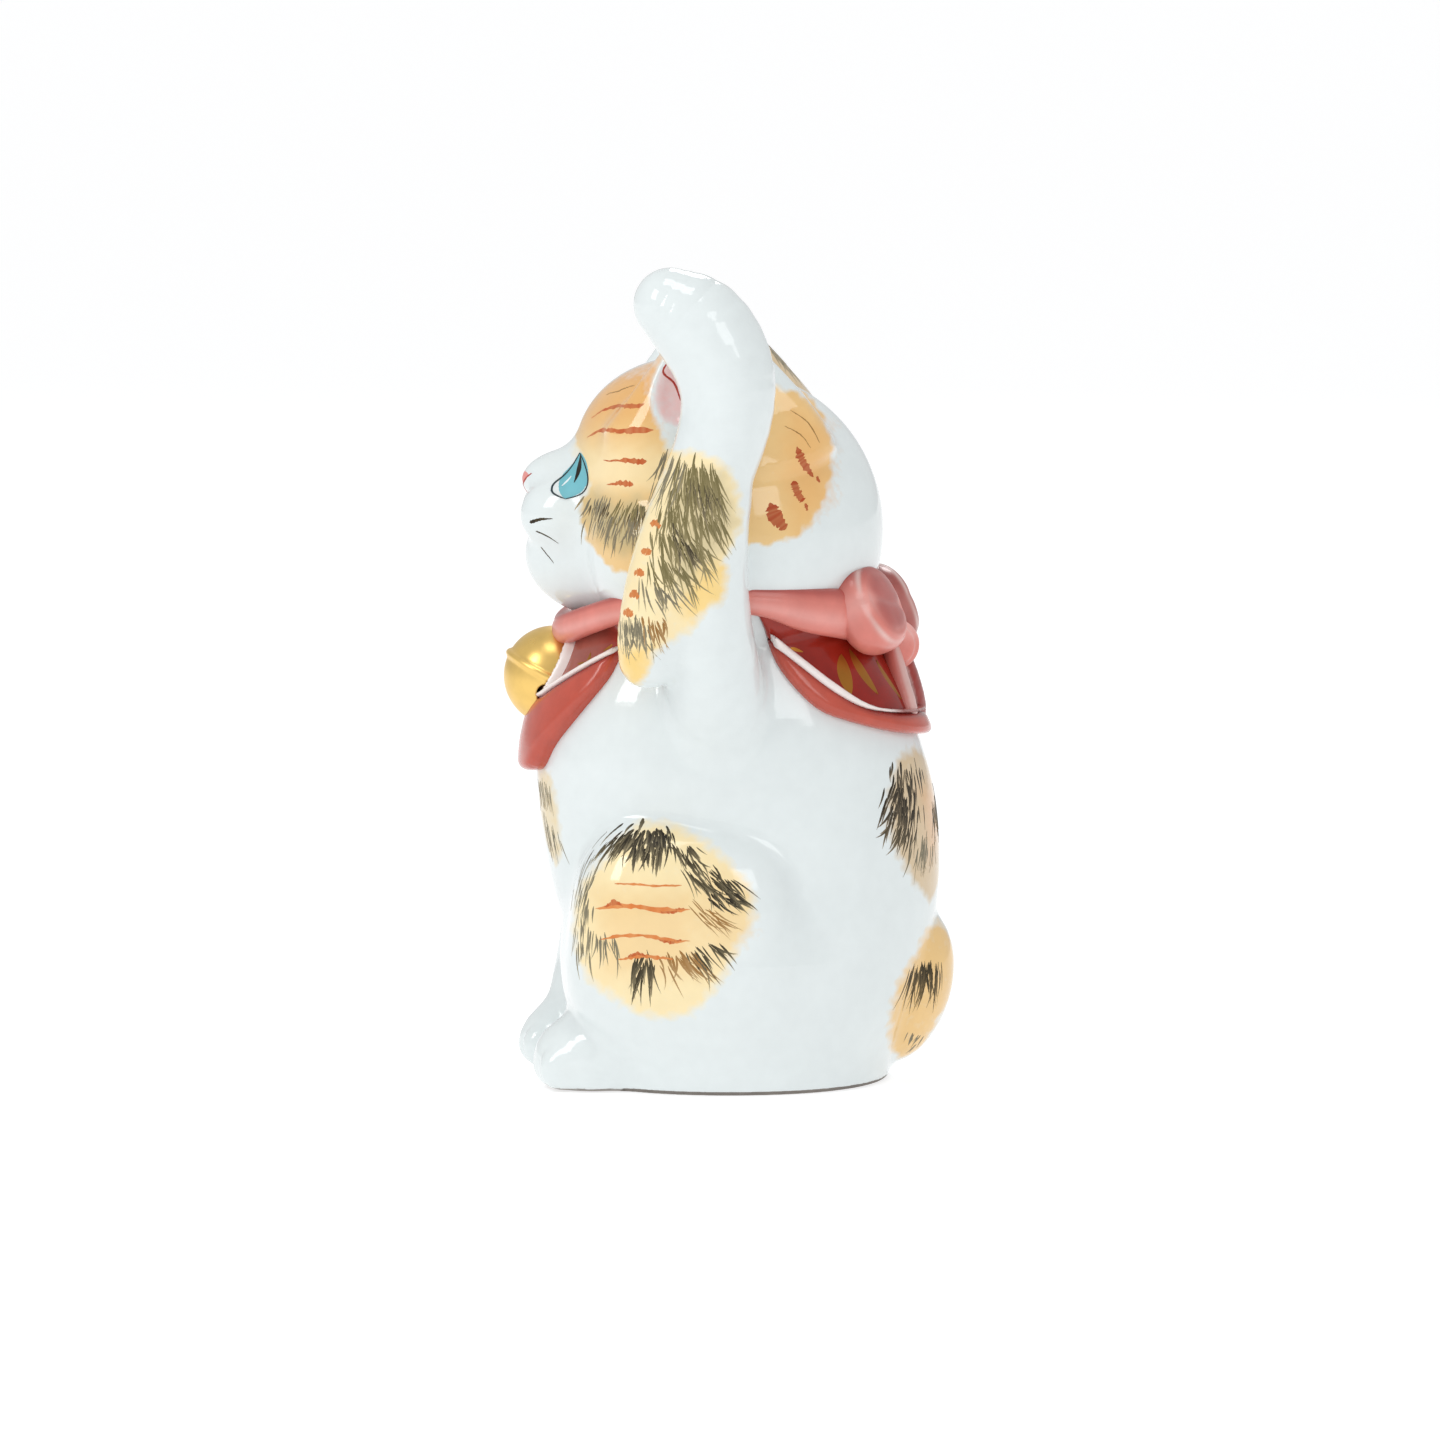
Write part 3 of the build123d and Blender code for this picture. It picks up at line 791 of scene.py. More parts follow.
def washes(points, name):
    """Painted colour of one piece of the glazed body."""
    paint = solid(points, PORCELAIN)
    paint[:, 3] = 0
    for view, pieces, outline, soft, colour, strength in WASHES:
        if name not in pieces:
            continue
        across, toward = VIEWS[view]
        q = np.stack([points @ across, points[:, 2]], 1)
        near = ramp(points @ toward, -1, 3)
        wobble = 0.35 * np.sin(q[:, 0] * 1.9 + 1.3 * np.sin(q[:, 1] * 1.1)) * np.sin(q[:, 1] * 2.3)
        gap = polygon_distance(q, outline) + wobble
        paint = washed(paint, colour, strength * near * ramp(-gap, -soft, soft))
    if name.endswith("_ear"):
        side = 1 if name.startswith("left") else -1
        inside = ear_scoop(points.astype(np.float32), side)
        paint[:, 3] *= ramp(inside, 0.3, 1.2)
        paint = washed(paint, EAR_PINK, 0.7 * ramp(-inside, -0.6, 0.1))
    # the bare foot below the glaze line is painted dark grey: partly the unglazed clay, partly a painted contact
    # shadow
    return washed(paint, BISQUE_AND_CONTACT_SHADOW, ramp(-points[:, 2], -FOOT_GLAZE - 0.02, -FOOT_GLAZE + 0.1))


# ---- brush marks
CAST_FROM = 44.0              # marks start this far out and move in to the surface
HAIR_STEPS = 6
FUR_DENSITY = 0.95
FUR_WEIGHT = 1.25
HAIR_WIDTHS = np.array((0.25, 0.85, 1, 0.9, 0.7, 0.42, 0.06))
HAIR_ROWS = 3
STROKE_STEPS = 22


def marched(p, toward, shape, rounds, share):
    """Points moved in against a direction until they meet the surface of a shape."""
    p = (p + CAST_FROM * toward).astype(np.float32)
    for _ in range(rounds):
        p = p - (share * np.clip(shape(p), -1, 6))[:, None] * toward.astype(np.float32)
    return p


def cast(view, marks, shape):
    """Where marks given in a view meet the surface of a shape."""
    across, toward = VIEWS[view]
    return marched(marks[:, :1] * across + marks[:, 1:2] * (0, 0, 1), toward, shape, 70, 0.75)


def landed(p, shape):
    """Which cast points lie on the surface; the others passed by it."""
    return np.abs(shape(p)) < 0.2


def brushed(lines, widths, shape, rows, lift, sink, rounds=2):
    """Thin closed domes on a surface: lines (marks, steps, 3) and half widths (marks, steps)."""
    edge_drop = 0.012
    marks, steps = lines.shape[:2]
    ahead = np.gradient(lines, axis=1)
    _, out = settle(shape, lines.reshape(-1, 3), rounds=0)
    out = out.reshape(marks, steps, 3)
    side = np.cross(ahead, out)
    side /= np.linalg.norm(side, axis=2, keepdims=True) + 1e-9
    spread = np.linspace(-1, 1, rows)
    spots = lines[:, :, None] + side[:, :, None] * (spread[:, None] * widths[:, :, None, None])
    spots, slopes = settle(shape, spots.reshape(-1, 3), rounds=rounds)
    dome = np.tile(lift * (1 - spread ** 2) - edge_drop * np.abs(spread), marks * steps)
    top = (spots + slopes * dome[:, None]).reshape(marks, steps, rows, 3)
    slopes = slopes.reshape(marks, steps, rows, 3)
    under = (spots.reshape(marks, steps, rows, 3) - slopes * sink)[:, :, -2:0:-1]
    loop = np.concatenate([top, under], 2)
    normals = np.concatenate([slopes, -slopes[:, :, -2:0:-1]], 2)
    around = 2 * rows - 2
    number = np.arange(marks * steps * around).reshape(marks, steps, around)
    turn = np.roll(number, -1, 2)
    a, b, c, d = number[:, :-1], turn[:, :-1], turn[:, 1:], number[:, 1:]
    tris = [np.stack([a, b, c], -1).reshape(-1, 3), np.stack([a, c, d], -1).reshape(-1, 3)]
    for end, order in ((0, (0, 2, 1)), (-1, (0, 1, 2))):
        ring = number[:, end]
        tris += [ring[:, [0, j, j + 1]][:, order] for j in range(1, around - 1)]
    return loop.reshape(-1, 3), np.vstack(tris), normals.reshape(-1, 3)


def outward(points, tris, normals):
    """Triangles of closed marks, all turned to face outwards."""
    a, b, c = (points[tris[:, i]] for i in range(3))
    return tris if (np.cross(b - a, c - a) * normals[tris[:, 0]]).sum() > 0 else tris[:, ::-1]


def hairs(rng, tufts, shape):
    """Lines, half widths, inks and tints of fur; a tuft fans between two roots and directions."""
    roots, heads, lengths, wide, inks, kept = [], [], [], [], [], []
    for view, *ends, angle_a, angle_b, length, count, width, ink in tufts:
        count = int(count * FUR_DENSITY)
        across, toward = VIEWS[view]
        t = (np.arange(count) + rng.uniform(0.1, 0.9, count)) / count
        at = np.outer(1 - t, ends[:2]) + np.outer(t, ends[2:]) + rng.normal(0, 0.6, (count, 2))
        angle = np.radians(angle_a + (angle_b - angle_a) * t + rng.normal(0, 7, count))
        root = cast(view, at, shape)
        kept.append(landed(root, shape))
        roots.append(root)
        heads.append(np.outer(np.cos(angle), across) + np.outer(np.sin(angle), (0, 0, 1)))
        lengths.append(length * rng.uniform(0.5, 1.25, count))
        wide.append(width * FUR_WEIGHT * rng.uniform(0.6, 1.5, count))
        inks.append(np.tile(ink, (count, 1)))
    kept = np.concatenate(kept)
    p, head, inks = (np.vstack(rows)[kept] for rows in (roots, heads, inks))
    lengths, wide = np.concatenate(lengths)[kept], np.concatenate(wide)[kept]
    bend = rng.normal(0, 0.06, len(p))
    line = [p]
    for _ in range(HAIR_STEPS):
        p, out = settle(shape, p + head * (lengths / HAIR_STEPS)[:, None], rounds=1)
        head = head - out * (head * out).sum(1)[:, None] + np.cross(out, head) * bend[:, None]
        head /= np.linalg.norm(head, axis=1, keepdims=True) + 1e-9
        line.append(p)
    lines = np.stack(line, 1)
    widths = wide[:, None] * HAIR_WIDTHS
    fade = np.linspace(0, 1, HAIR_STEPS + 1) ** 1.5 * 0.45
    tint = rng.uniform(0, 0.26, len(p))[:, None] + fade
    return lines, widths, inks, tint ** 2


def mark_piece(name, brush, rows, colours):
    """A piece of brushed marks, painted with a colour for each step of each mark."""
    points, tris, normals = brush
    colours = np.repeat(colours.reshape(-1, 3), 2 * rows - 2, 0)
    piece(name, points, outward(points, tris, normals), normals, solid(points, colours), INK, "porcelain")


def hair_piece(name, tufts, shape, seed, ground=CREAM):
    """Tufts of brushed fur whose ink thins out over the colour of the ground."""
    lines, widths, inks, tint = hairs(np.random.default_rng(seed), tufts, shape)
    colours = inks[:, None] * (1 - tint[..., None]) + ground * tint[..., None]
    mark_piece(name, brushed(lines, widths, shape, HAIR_ROWS, 0.035, 0.12), HAIR_ROWS, colours)


def strokes_piece(name, marks, shape, seed, rows=5, lift=0.05):
    """Painted bars, dashes, dots and lines: view, points, half widths, colour, raggedness."""
    rng = np.random.default_rng(seed)
    steps = STROKE_STEPS
    lines, widths, colours = [], [], []
    for view, at, half_widths, colour, ragged in marks:
        path = smooth_path([(*spot, 0) for spot in at], 8)[:, :2]
        run = np.concatenate([[0], np.cumsum(np.linalg.norm(np.diff(path, axis=0), axis=1))])
        s = np.linspace(0, 1, steps)
        path = np.stack([np.interp(s * run[-1], run, path[:, i]) for i in (0, 1)], 1)
        wander = np.cumsum(rng.normal(0, 0.05, steps)) * ragged
        path[:, 1] += wander - wander.mean()
        width = np.interp(s, np.linspace(0, 1, len(half_widths)), half_widths)
        width *= 1 + ragged * rng.uniform(-0.45, 0.45, steps)
        width[[0, -1]] *= 0.25
        line = cast(view, path, shape)
        on = np.flatnonzero(landed(line, shape))
        line = line[on[np.abs(np.arange(steps)[:, None] - on).argmin(1)]]
        lines.append(line)
        widths.append(np.maximum(width, 0.015))
        shade = 1 - ragged * rng.uniform(0, 0.25, steps)[:, None]
        colours.append(np.clip(colour * shade + (1 - shade) * TAN, 0, 1))
    brush = brushed(np.stack(lines), np.stack(widths), shape, rows, lift, 0.25, rounds=6)
    mark_piece(name, brush, rows, np.vstack(colours))


# ---- materials
def noise(tree, scale, detail):
    """Even noise in the object's own space, about 0.3 to 0.7; scale is in specks per metre."""
    node = tree.nodes.new("ShaderNodeTexNoise")
    node.inputs["Scale"].default_value = scale
    node.inputs["Detail"].default_value = detail
    node.inputs["Roughness"].default_value = 0.5
    place = tree.nodes.new("ShaderNodeTexCoord")
    tree.links.new(place.outputs["Object"], node.inputs["Vector"])
    return node.outputs["Fac"]


def ranged(tree, value, low, high, start=0.3, end=0.7):
    """A value between start and end, spread over low to high."""
    node = tree.nodes.new("ShaderNodeMapRange")
    node.inputs["From Min"].default_value = start
    node.inputs["From Max"].default_value = end
    node.inputs["To Min"].default_value = low
    node.inputs["To Max"].default_value = high
    tree.links.new(value, node.inputs["Value"])
    return node.outputs["Result"]


def blended(tree, kind, share, first, second):
    """Two colours mixed; each input is a socket, a number or a colour."""
    node = tree.nodes.new("ShaderNodeMix")
    node.data_type = "RGBA"
    node.blend_type = kind
    for socket, value in zip((node.inputs[0], node.inputs[6], node.inputs[7]), (share, first, second)):
        if hasattr(value, "links"):
            tree.links.new(value, socket)
        else:
            socket.default_value = value
    return node.outputs[2]


def ceramic(name, roughness, spread, mottle, ripple, metallic=0, coat=0, base=None, gloss=0.5):
    """Glossy fired surface: painted colour, uneven gloss and the slight ripple of a glaze.

    With a base colour, paint covers it only as far as the paint's alpha says, with a brushed edge.
    """
    material = bpy.data.materials.new(name)
    material.use_nodes = True
    tree = material.node_tree
    shader = tree.nodes["Principled BSDF"]
    attribute = tree.nodes.new("ShaderNodeAttribute")
    attribute.attribute_name = "paint"
    colour = attribute.outputs["Color"]
    if base is not None:
        edge = tree.nodes.new("ShaderNodeMath")
        edge.operation = "MULTIPLY_ADD"
        tree.links.new(ranged(tree, noise(tree, 900, 2), -0.10, 0.10), edge.inputs[0])
        edge.inputs[1].default_value = 1.0
        tree.links.new(attribute.outputs["Alpha"], edge.inputs[2])
        share = ranged(tree, edge.outputs[0], 0, 1, 0.12, 0.88)
        cloud = ranged(tree, noise(tree, 60, 2), 0, 1)
        white = blended(tree, "MIX", cloud, (*base, 1), (*(base * 0.975), 1))
        colour = blended(tree, "MIX", share, white, colour)
    dark = 1 - mottle
    speck = ranged(tree, noise(tree, 420, 4), 0, 1)
    tone = blended(tree, "MIX", speck, (1, 1, 1, 1), (dark, dark, dark, 1))
    tree.links.new(blended(tree, "MULTIPLY", 1, colour, tone), shader.inputs["Base Color"])
    rough = ranged(tree, noise(tree, 160, 3), roughness, roughness + spread)
    tree.links.new(rough, shader.inputs["Roughness"])
    bump = tree.nodes.new("ShaderNodeBump")
    bump.inputs["Strength"].default_value = ripple
    bump.inputs["Distance"].default_value = 0.0004
    tree.links.new(noise(tree, 110, 2), bump.inputs["Height"])
    tree.links.new(bump.outputs["Normal"], shader.inputs["Normal"])
    shader.inputs["Metallic"].default_value = metallic
    shader.inputs["IOR"].default_value = 1.52
    shader.inputs["Specular IOR Level"].default_value = gloss
    shader.inputs["Coat Weight"].default_value = coat
    shader.inputs["Coat Roughness"].default_value = 0.08
    return material


PORCELAIN = linear(229, 236, 236)
# unglazed clay colour darkened as a painted contact shadow along the foot
BISQUE_AND_CONTACT_SHADOW = linear(128, 121, 114)
GLAZE = ceramic("glazed_porcelain", 0.05, 0.06, mottle=0.03, ripple=0.10, base=PORCELAIN)
PANEL_ENAMEL = ceramic("panel_enamel", 0.06, 0.08, mottle=0.18, ripple=0.25, gloss=0.35)
BORDER_ENAMEL = ceramic("border_enamel", 0.12, 0.12, mottle=0.12, ripple=0.2)
RIBBON_ENAMEL = ceramic("ribbon_enamel", 0.28, 0.14, coat=0.15, mottle=0.10, ripple=0.25)
HIGHLIGHT_LINE_FINISH = ceramic("white_highlight_line", 0.12, 0.10, mottle=0.06, ripple=0.15)
GOLD = ceramic("gilt_lustre", 0.26, 0.14, metallic=0.8, mottle=0.10, ripple=0.35)
INK = ceramic("brush_ink", 0.34, 0.14, mottle=0.10, ripple=0.1, gloss=0.2)
BARE_CLAY = ceramic("bisque_foot", 0.6, 0.2, mottle=0.2, ripple=0.5)


# ---- camera, floor, light
VIEW_WIDTH = 211.2 * MM
CAMERA_DISTANCE = 1.4
CAMERA_AZIMUTH = math.radians(90)
CAMERA_ELEVATION = math.radians(5.6)
STUDIO_WHITE = (0.985, 0.995, 1, 1)
SENSOR_WIDTH = 36
CAMERA_TARGET = Vector(ORIGIN) + Vector((0, -1.1 * MM, 52.4 * MM))


def make_camera():
    data = bpy.data.cameras.new("camera")
    camera = link(data, "camera")
    away = Vector((math.sin(CAMERA_AZIMUTH), -math.cos(CAMERA_AZIMUTH), 0)) * math.cos(CAMERA_ELEVATION)
    away.z = math.sin(CAMERA_ELEVATION)
    camera.location = CAMERA_TARGET + away * CAMERA_DISTANCE
    camera.rotation_euler = (-away).to_track_quat("-Z", "Y").to_euler()
    data.sensor_width = SENSOR_WIDTH
    data.lens = SENSOR_WIDTH * CAMERA_DISTANCE / VIEW_WIDTH
    data.clip_start = 0.05
    data.clip_end = 40
    bpy.context.scene.camera = camera


def make_floor():
    """A wide pale table, lit from within so that it has no horizon."""
    reach = 14.0
    corners = [(-reach, -reach, 0), (reach, -reach, 0), (reach, reach, 0), (-reach, reach, 0)]
    mesh = bpy.data.meshes.new("floor")
    mesh.from_pydata(corners, [], [(0, 1, 2, 3)])
    floor = link(mesh, "floor")
    material = bpy.data.materials.new("lit_studio_table")
    material.use_nodes = True
    shader = material.node_tree.nodes["Principled BSDF"]
    shader.inputs["Base Color"].default_value = (0.40, 0.40, 0.405, 1)
    shader.inputs["Roughness"].default_value = 0.6
    shader.inputs["Emission Color"].default_value = (1, 1, 1, 1)
    shader.inputs["Emission Strength"].default_value = 0.7
    mesh.materials.append(material)


def softbox(name, azimuth, elevation, distance, size, radiance):
    """Rectangular light that faces the cat from the given direction."""
    data = bpy.data.lights.new(name, "AREA")
    data.shape = "RECTANGLE"
    data.size, data.size_y = size
    data.energy = radiance * math.pi * size[0] * size[1]
    light = link(data, name)
    a, e = math.radians(azimuth), math.radians(elevation)
    away = Vector((math.sin(a) * math.cos(e), -math.cos(a) * math.cos(e), math.sin(e)))
    light.location = CAMERA_TARGET + away * distance
    light.rotation_euler = (-away).to_track_quat("-Z", "Y").to_euler()


def make_lights():
    """Soft light all round, whiter where the camera sees it, and four softboxes."""
    world = bpy.data.worlds.new("world")
    bpy.context.scene.world = world
    world.use_nodes = True
    tree = world.node_tree
    soft = tree.nodes["Background"]
    soft.inputs[0].default_value = STUDIO_WHITE
    soft.inputs[1].default_value = 0.60
    backdrop = tree.nodes.new("ShaderNodeBackground")
    backdrop.inputs[0].default_value = STUDIO_WHITE
    backdrop.inputs[1].default_value = 0.97
    path = tree.nodes.new("ShaderNodeLightPath")
    either = tree.nodes.new("ShaderNodeMixShader")
    tree.links.new(path.outputs["Is Camera Ray"], either.inputs[0])
    tree.links.new(soft.outputs[0], either.inputs[1])
    tree.links.new(backdrop.outputs[0], either.inputs[2])
    tree.links.new(either.outputs[0], tree.nodes["World Output"].inputs[0])
    softbox("window_left", 34, 32, 1, (0.26, 0.46), 6)
    softbox("window_right", 122, 27, 1.1, (0.40, 0.42), 2.6)
    softbox("window_top", 70, 76, 0.9, (0.34, 0.34), 3.6)
    softbox("window_back", 262, 40, 1.2, (0.3, 0.5), 6)
    bpy.context.scene.view_settings.view_transform = "Standard"


# ---- building the pieces
def make_body():
    """The glazed body, meshed whole and then parted along the seams between its sections."""
    points, quads, normals = meshed(body, (-34, -35, -2.5), (38.5, 35.5, 122.5), 0.45)
    middle = points[quads].mean(1)
    scores = np.stack([shape(middle) for shape in PARTS.values()], 1)
    scores[:, 0] = np.minimum(scores[:, 0], np.minimum(haunch(middle, 1), haunch(middle, -1)))
    base = len(PARTS)
    owner = scores.argmin(1)
    within = np.hypot(middle[:, 0] / 21.4, (middle[:, 1] - BASE_MIDDLE) / 21)
    low = middle[:, 2] < 16
    owner[(middle[:, 2] < FOOT_GLAZE) & (owner == 0)] = base
    owner[low & (within < 1) & (normals[quads[:, 0], 2] < 0.5)] = base
    owner[low & (within < 0.72)] = base
    owner = tidy_owners(owner, face_links(quads))
    foot = np.zeros((2, len(points)), bool)
    foot[0, quads[owner == base].ravel()] = True
    foot[1, quads[owner != base].ravel()] = True
    level = foot.all(0) & (np.abs(points[:, 2] - FOOT_GLAZE) < 0.5)
    points[level, 2] = FOOT_GLAZE
    for index, name in enumerate([*PARTS, "base_plate"]):
        own = quads[owner == index]
        used, local = np.unique(own, return_inverse=True)
        spots, faces, slopes = capped(points[used], local.reshape(own.shape), normals[used])
        paint = washes(spots, name)
        finish = (BARE_CLAY, "bisque") if index == base else (GLAZE, "porcelain")
        piece("glazed_" + name, spots, faces, slopes, paint, *finish, name)


def implicit_piece(name, shape, low, high, pitch, painter, finish, replaces):
    """A trim piece in place of a CAD node, without stray bits; its finish is a material and a slot name, and the
    slot name is not used.
    """
    points, quads, normals = meshed(shape, low, high, pitch)
    label = islands(len(quads), face_links(quads))
    size = np.bincount(label, minlength=len(quads))
    quads = quads[size[label] > 0.05 * size.max()]
    used, local = np.unique(quads, return_inverse=True)
    points, normals = points[used], normals[used]
    piece(name, points, local.reshape(quads.shape), normals, painter(points, normals), *finish, replaces)


KERCHIEF_HALVES = (
    ("front", -1, (-20, -36, 43), (20, -3, 73)),
    ("back", 1, (-28, -2, 48), (28, 34, 73)),
)
RIBBON_FINISH = (RIBBON_ENAMEL, "ribbon_enamel")


def make_kerchief():
    """Panel, rolled border and raised line of each half."""
    for word, side, low, high in KERCHIEF_HALVES:
        def panel_paint(p, n, side=side):
            # lighter red towards the top; on the front half a pale pink painted reflection towards the front of
            # the chest
            paint = mixed(solid(p, PANEL_RED), PANEL_LIGHT, 0.25 * ramp(p[:, 2], 58, 68))
            return mixed(paint, PANEL_REFLECTION_PINK, (0.55 if side < 0 else 0) * ramp(p[:, 1], -14, -20))

        def border_paint(p, n, side=side):
            # the border is painted dark panel red next to the raised line as painted shade under it, and coral
            # further out
            gap = outline_distance(unrolled(p, side), FRONT_INNER if side < 0 else BACK_INNER)
            return mixed(solid(p, PANEL_RED), CORAL, ramp(gap, 0.3, 1.5))

        def highlight_line_paint(p, n, side=side):
            # the raised lines are real, their white is a painted highlight along the ridge; on the back it fades
            # into panel red towards the middle
            faint = ramp(-np.abs(unrolled(p, side)[:, 0]), -12, -9) if side > 0 else 0.0
            return mixed(solid(p, WHITE_LINE_HIGHLIGHT), PANEL_RED, 0.8 * faint)
        for kind, painter, finish in (("panel", panel_paint, (PANEL_ENAMEL, "panel_enamel")),
                                      ("border", border_paint, (BORDER_ENAMEL, "border_enamel")),
                                      ("piping", highlight_line_paint, (HIGHLIGHT_LINE_FINISH, "white_line"))):
            implicit_piece(f"kerchief_{word}_{kind}", kerchief(kind, side), low, high, 0.3, painter,
                           finish, f"bib_{word}_{kind}")


def make_bow():
    """Two loops, the knot and two hanging ribbon ends."""
    for word, (centre, radii, turn, rim_at) in (("left", LEFT_LOOP), ("right", RIGHT_LOOP)):
        def painter(p, n, centre=centre, turn=turn, radii=radii, rim_at=rim_at, word=word):
            # painted light on each loop: painted shade on its top and on its back behind the rim, a painted
            # highlight across its middle, the far right loop darkened all over as painted shade, and a pale
            # painted highlight along the rim
            q = (p - np.array(centre)) @ rotation(turn)
            high = q[:, 2] / radii[2]
            paint = mixed(solid(p, ROSE), ROSE_PAINTED_SHADE, ramp(high, 0.3, 1))
            paint = mixed(paint, ROSE_PAINTED_HIGHLIGHT, 0.6 * np.exp(-((high - 0.1) / 0.3) ** 2))
            if word == "right":
                paint = mixed(paint, ROSE_SHADE, 0.7)
            paint = mixed(paint, ROSE_PAINTED_SHADE, 0.8 * ramp(q[:, 1], rim_at + 0.4, rim_at + 1.2))
            rim = ramp(np.hypot(q[:, 0] / radii[0], high), 0.86, 0.95)
            return mixed(paint, PALE_RIM_HIGHLIGHT, 0.6 * np.exp(-((q[:, 1] - rim_at) / 0.4) ** 2) * rim)
        c = np.array(centre)
        implicit_piece(f"bow_{word}_loop_enamel", loop(centre, radii, turn, rim_at), c - 11, c + 11, 0.3,
                       painter, RIBBON_FINISH, f"bow_{word}_loop")

    def knot_paint(p, n):
        # the knot is painted lighter where it faces up, a painted highlight
        return mixed(solid(p, ROSE), ROSE_PAINTED_HIGHLIGHT, ramp(n[:, 2], -0.2, 0.6))

    def left_paint(p, n):
        # the left end is the ribbon red as a painted lit copy, paler where it faces back as a painted highlight
        return mixed(solid(p, LEFT_RIBBON_LIT_RED), PALE_RIM_HIGHLIGHT, 0.5 * ramp(n[:, 1], 0.2, 0.7))

    def right_paint(p, n):
        # the right end is the ribbon red as a painted shaded copy, with painted highlights along its edges
        return mixed(solid(p, RIGHT_RIBBON_SHADED_RED), PALE_RIM_HIGHLIGHT, 0.5 * ramp(np.abs(n[:, 0]), 0.85, 1))
    for word, shape, low, high, pitch, painter in (
            ("knot", knot, (-5, 18, 58), (6, 30, 69), 0.25, knot_paint),
            ("left_ribbon", LEFT_RIBBON, (-2, 20, 47), (10, 32, 67), 0.28, left_paint),
            ("right_ribbon", RIGHT_RIBBON, (-9, 20, 46), (3, 33, 67), 0.28, right_paint)):
        implicit_piece(f"bow_{word}_enamel", shape, low, high, pitch, painter, RIBBON_FINISH, f"bow_{word}")


def make_bell():
    """The gilt bell, darker inside its mouth."""
    def painter(p, n):
        r = np.sqrt(((p - np.array(BELL_CENTRE)) ** 2).sum(1))
        return mixed(solid(p, GILT), GILT_DARK, ramp(-r, -BELL_RADIUS + 0.25, -BELL_RADIUS + 0.9))
    c = np.array(BELL_CENTRE)
    implicit_piece("gilt_bell", bell, c - 9, c + 9, 0.26, painter, (GOLD, "gilt"), "bell")


def make_band():
    """Rolled neck band: a closed ring of folded sections."""
    half = np.array(BAND_HALF)
    ring = np.vstack([half[:-1], half[:0:-1] * (-1, 1, 1, 1, 1)])
    steps = 12
    path = smooth_path(np.vstack([ring[-2:], ring, ring[:3]]), steps)[2 * steps:-2 * steps - 1]
    ahead = np.roll(path[:, :3], -1, 0) - np.roll(path[:, :3], 1, 0)
    ahead /= np.linalg.norm(ahead, axis=1, keepdims=True)
    upward = np.array((0, 0, 1)) - ahead * ahead[:, 2:3]
    upward /= np.linalg.norm(upward, axis=1, keepdims=True)
    sideways = np.cross(ahead, upward)
    around = np.linspace(0, 2 * np.pi, 40, endpoint=False)
    rise = np.sin(around)
    out = np.cos(around)
    crease = 1 - 0.10 * np.exp(-((rise - 0.45) / 0.14) ** 2) + 0.05 * np.exp(-((rise + 0.2) / 0.3) ** 2)
    tall = np.sign(rise) * np.abs(rise) ** 0.8
    wide = np.sign(out) * np.abs(out) ** 0.8 * crease
    points = (path[:, None, :3] + sideways[:, None] * (wide[None, :, None] * path[:, None, 4:5])
              + upward[:, None] * (tall[None, :, None] * path[:, None, 3:4]))
    rings, spots = points.shape[:2]
    number = np.arange(rings * spots).reshape(rings, spots)
    along = np.roll(number, -1, 0)
    quads = np.stack([number, along, np.roll(along, -1, 1), np.roll(number, -1, 1)], -1)
    share = np.tile(rise, rings)
    paint = solid(points.reshape(-1, 3), ROSE)
    # painted shade along the band's upper edge and a painted highlight along its lower half
    paint = mixed(paint, ROSE_PAINTED_SHADE, 0.75 * ramp(share, 0.25, 0.85))
    paint = mixed(paint, ROSE_PAINTED_HIGHLIGHT, 0.5 * np.exp(-((share + 0.25) / 0.3) ** 2))
    piece("neck_band_enamel", points.reshape(-1, 3), quads.reshape(-1, 4), None, paint, RIBBON_ENAMEL,
          "ribbon_enamel", "neck_band")


def seen(view, marks):
    """Marks or tufts with the view that they are drawn in."""
    return tuple((view, *mark) for mark in marks)


# fur tufts: two roots, two directions, length, count, half width, ink
# stripes and dots: points, half widths along them, colour, raggedness
HAUNCH_FUR = (
    (-17.8, 36.6, -14.6, 37.6, -124, -106, 4, 26, 0.16, DARK),
    (-14.8, 38.2, -8.6, 38.4, -106, -84, 4.4, 60, 0.24, BLACK),
    (-12.8, 36.6, -9.4, 36.6, -100, -88, 3.2, 26, 0.26, BLACK),
    (-8.6, 37.6, -4.6, 35.6, -76, -56, 3.6, 22, 0.16, DARK),
    (-6.4, 34.6, -2.4, 33, -58, -46, 4.4, 24, 0.13, DARK),
    (-4.6, 32.2, 0.6, 31.4, -50, -40, 4.2, 28, 0.14, DARK),
    (-2.4, 30, 1.4, 29.6, -44, -36, 3.2, 24, 0.17, BLACK),
    (-5.6, 28.6, -1.2, 26.4, -46, -34, 4.4, 18, 0.12, BROWN),
    (-9.2, 20.4, -4.6, 21.2, -64, -54, 5, 26, 0.15, BROWN),
    (-5.4, 21.2, -1.8, 22.6, -58, -42, 4.2, 24, 0.15, DARK),
    (-13.4, 20.2, -10.8, 20.4, -108, -80, 5, 24, 0.18, DARK),
    (-19.6, 34.6, -21.4, 28.6, -112, -100, 3.6, 22, 0.14, GREY),
    (-20.8, 30.6, -21.2, 20.5, -98, -84, 3.8, 30, 0.15, GREY),
    (-19.9, 23.6, -16.2, 23, -92, -80, 4.2, 20, 0.14, GREY),
)
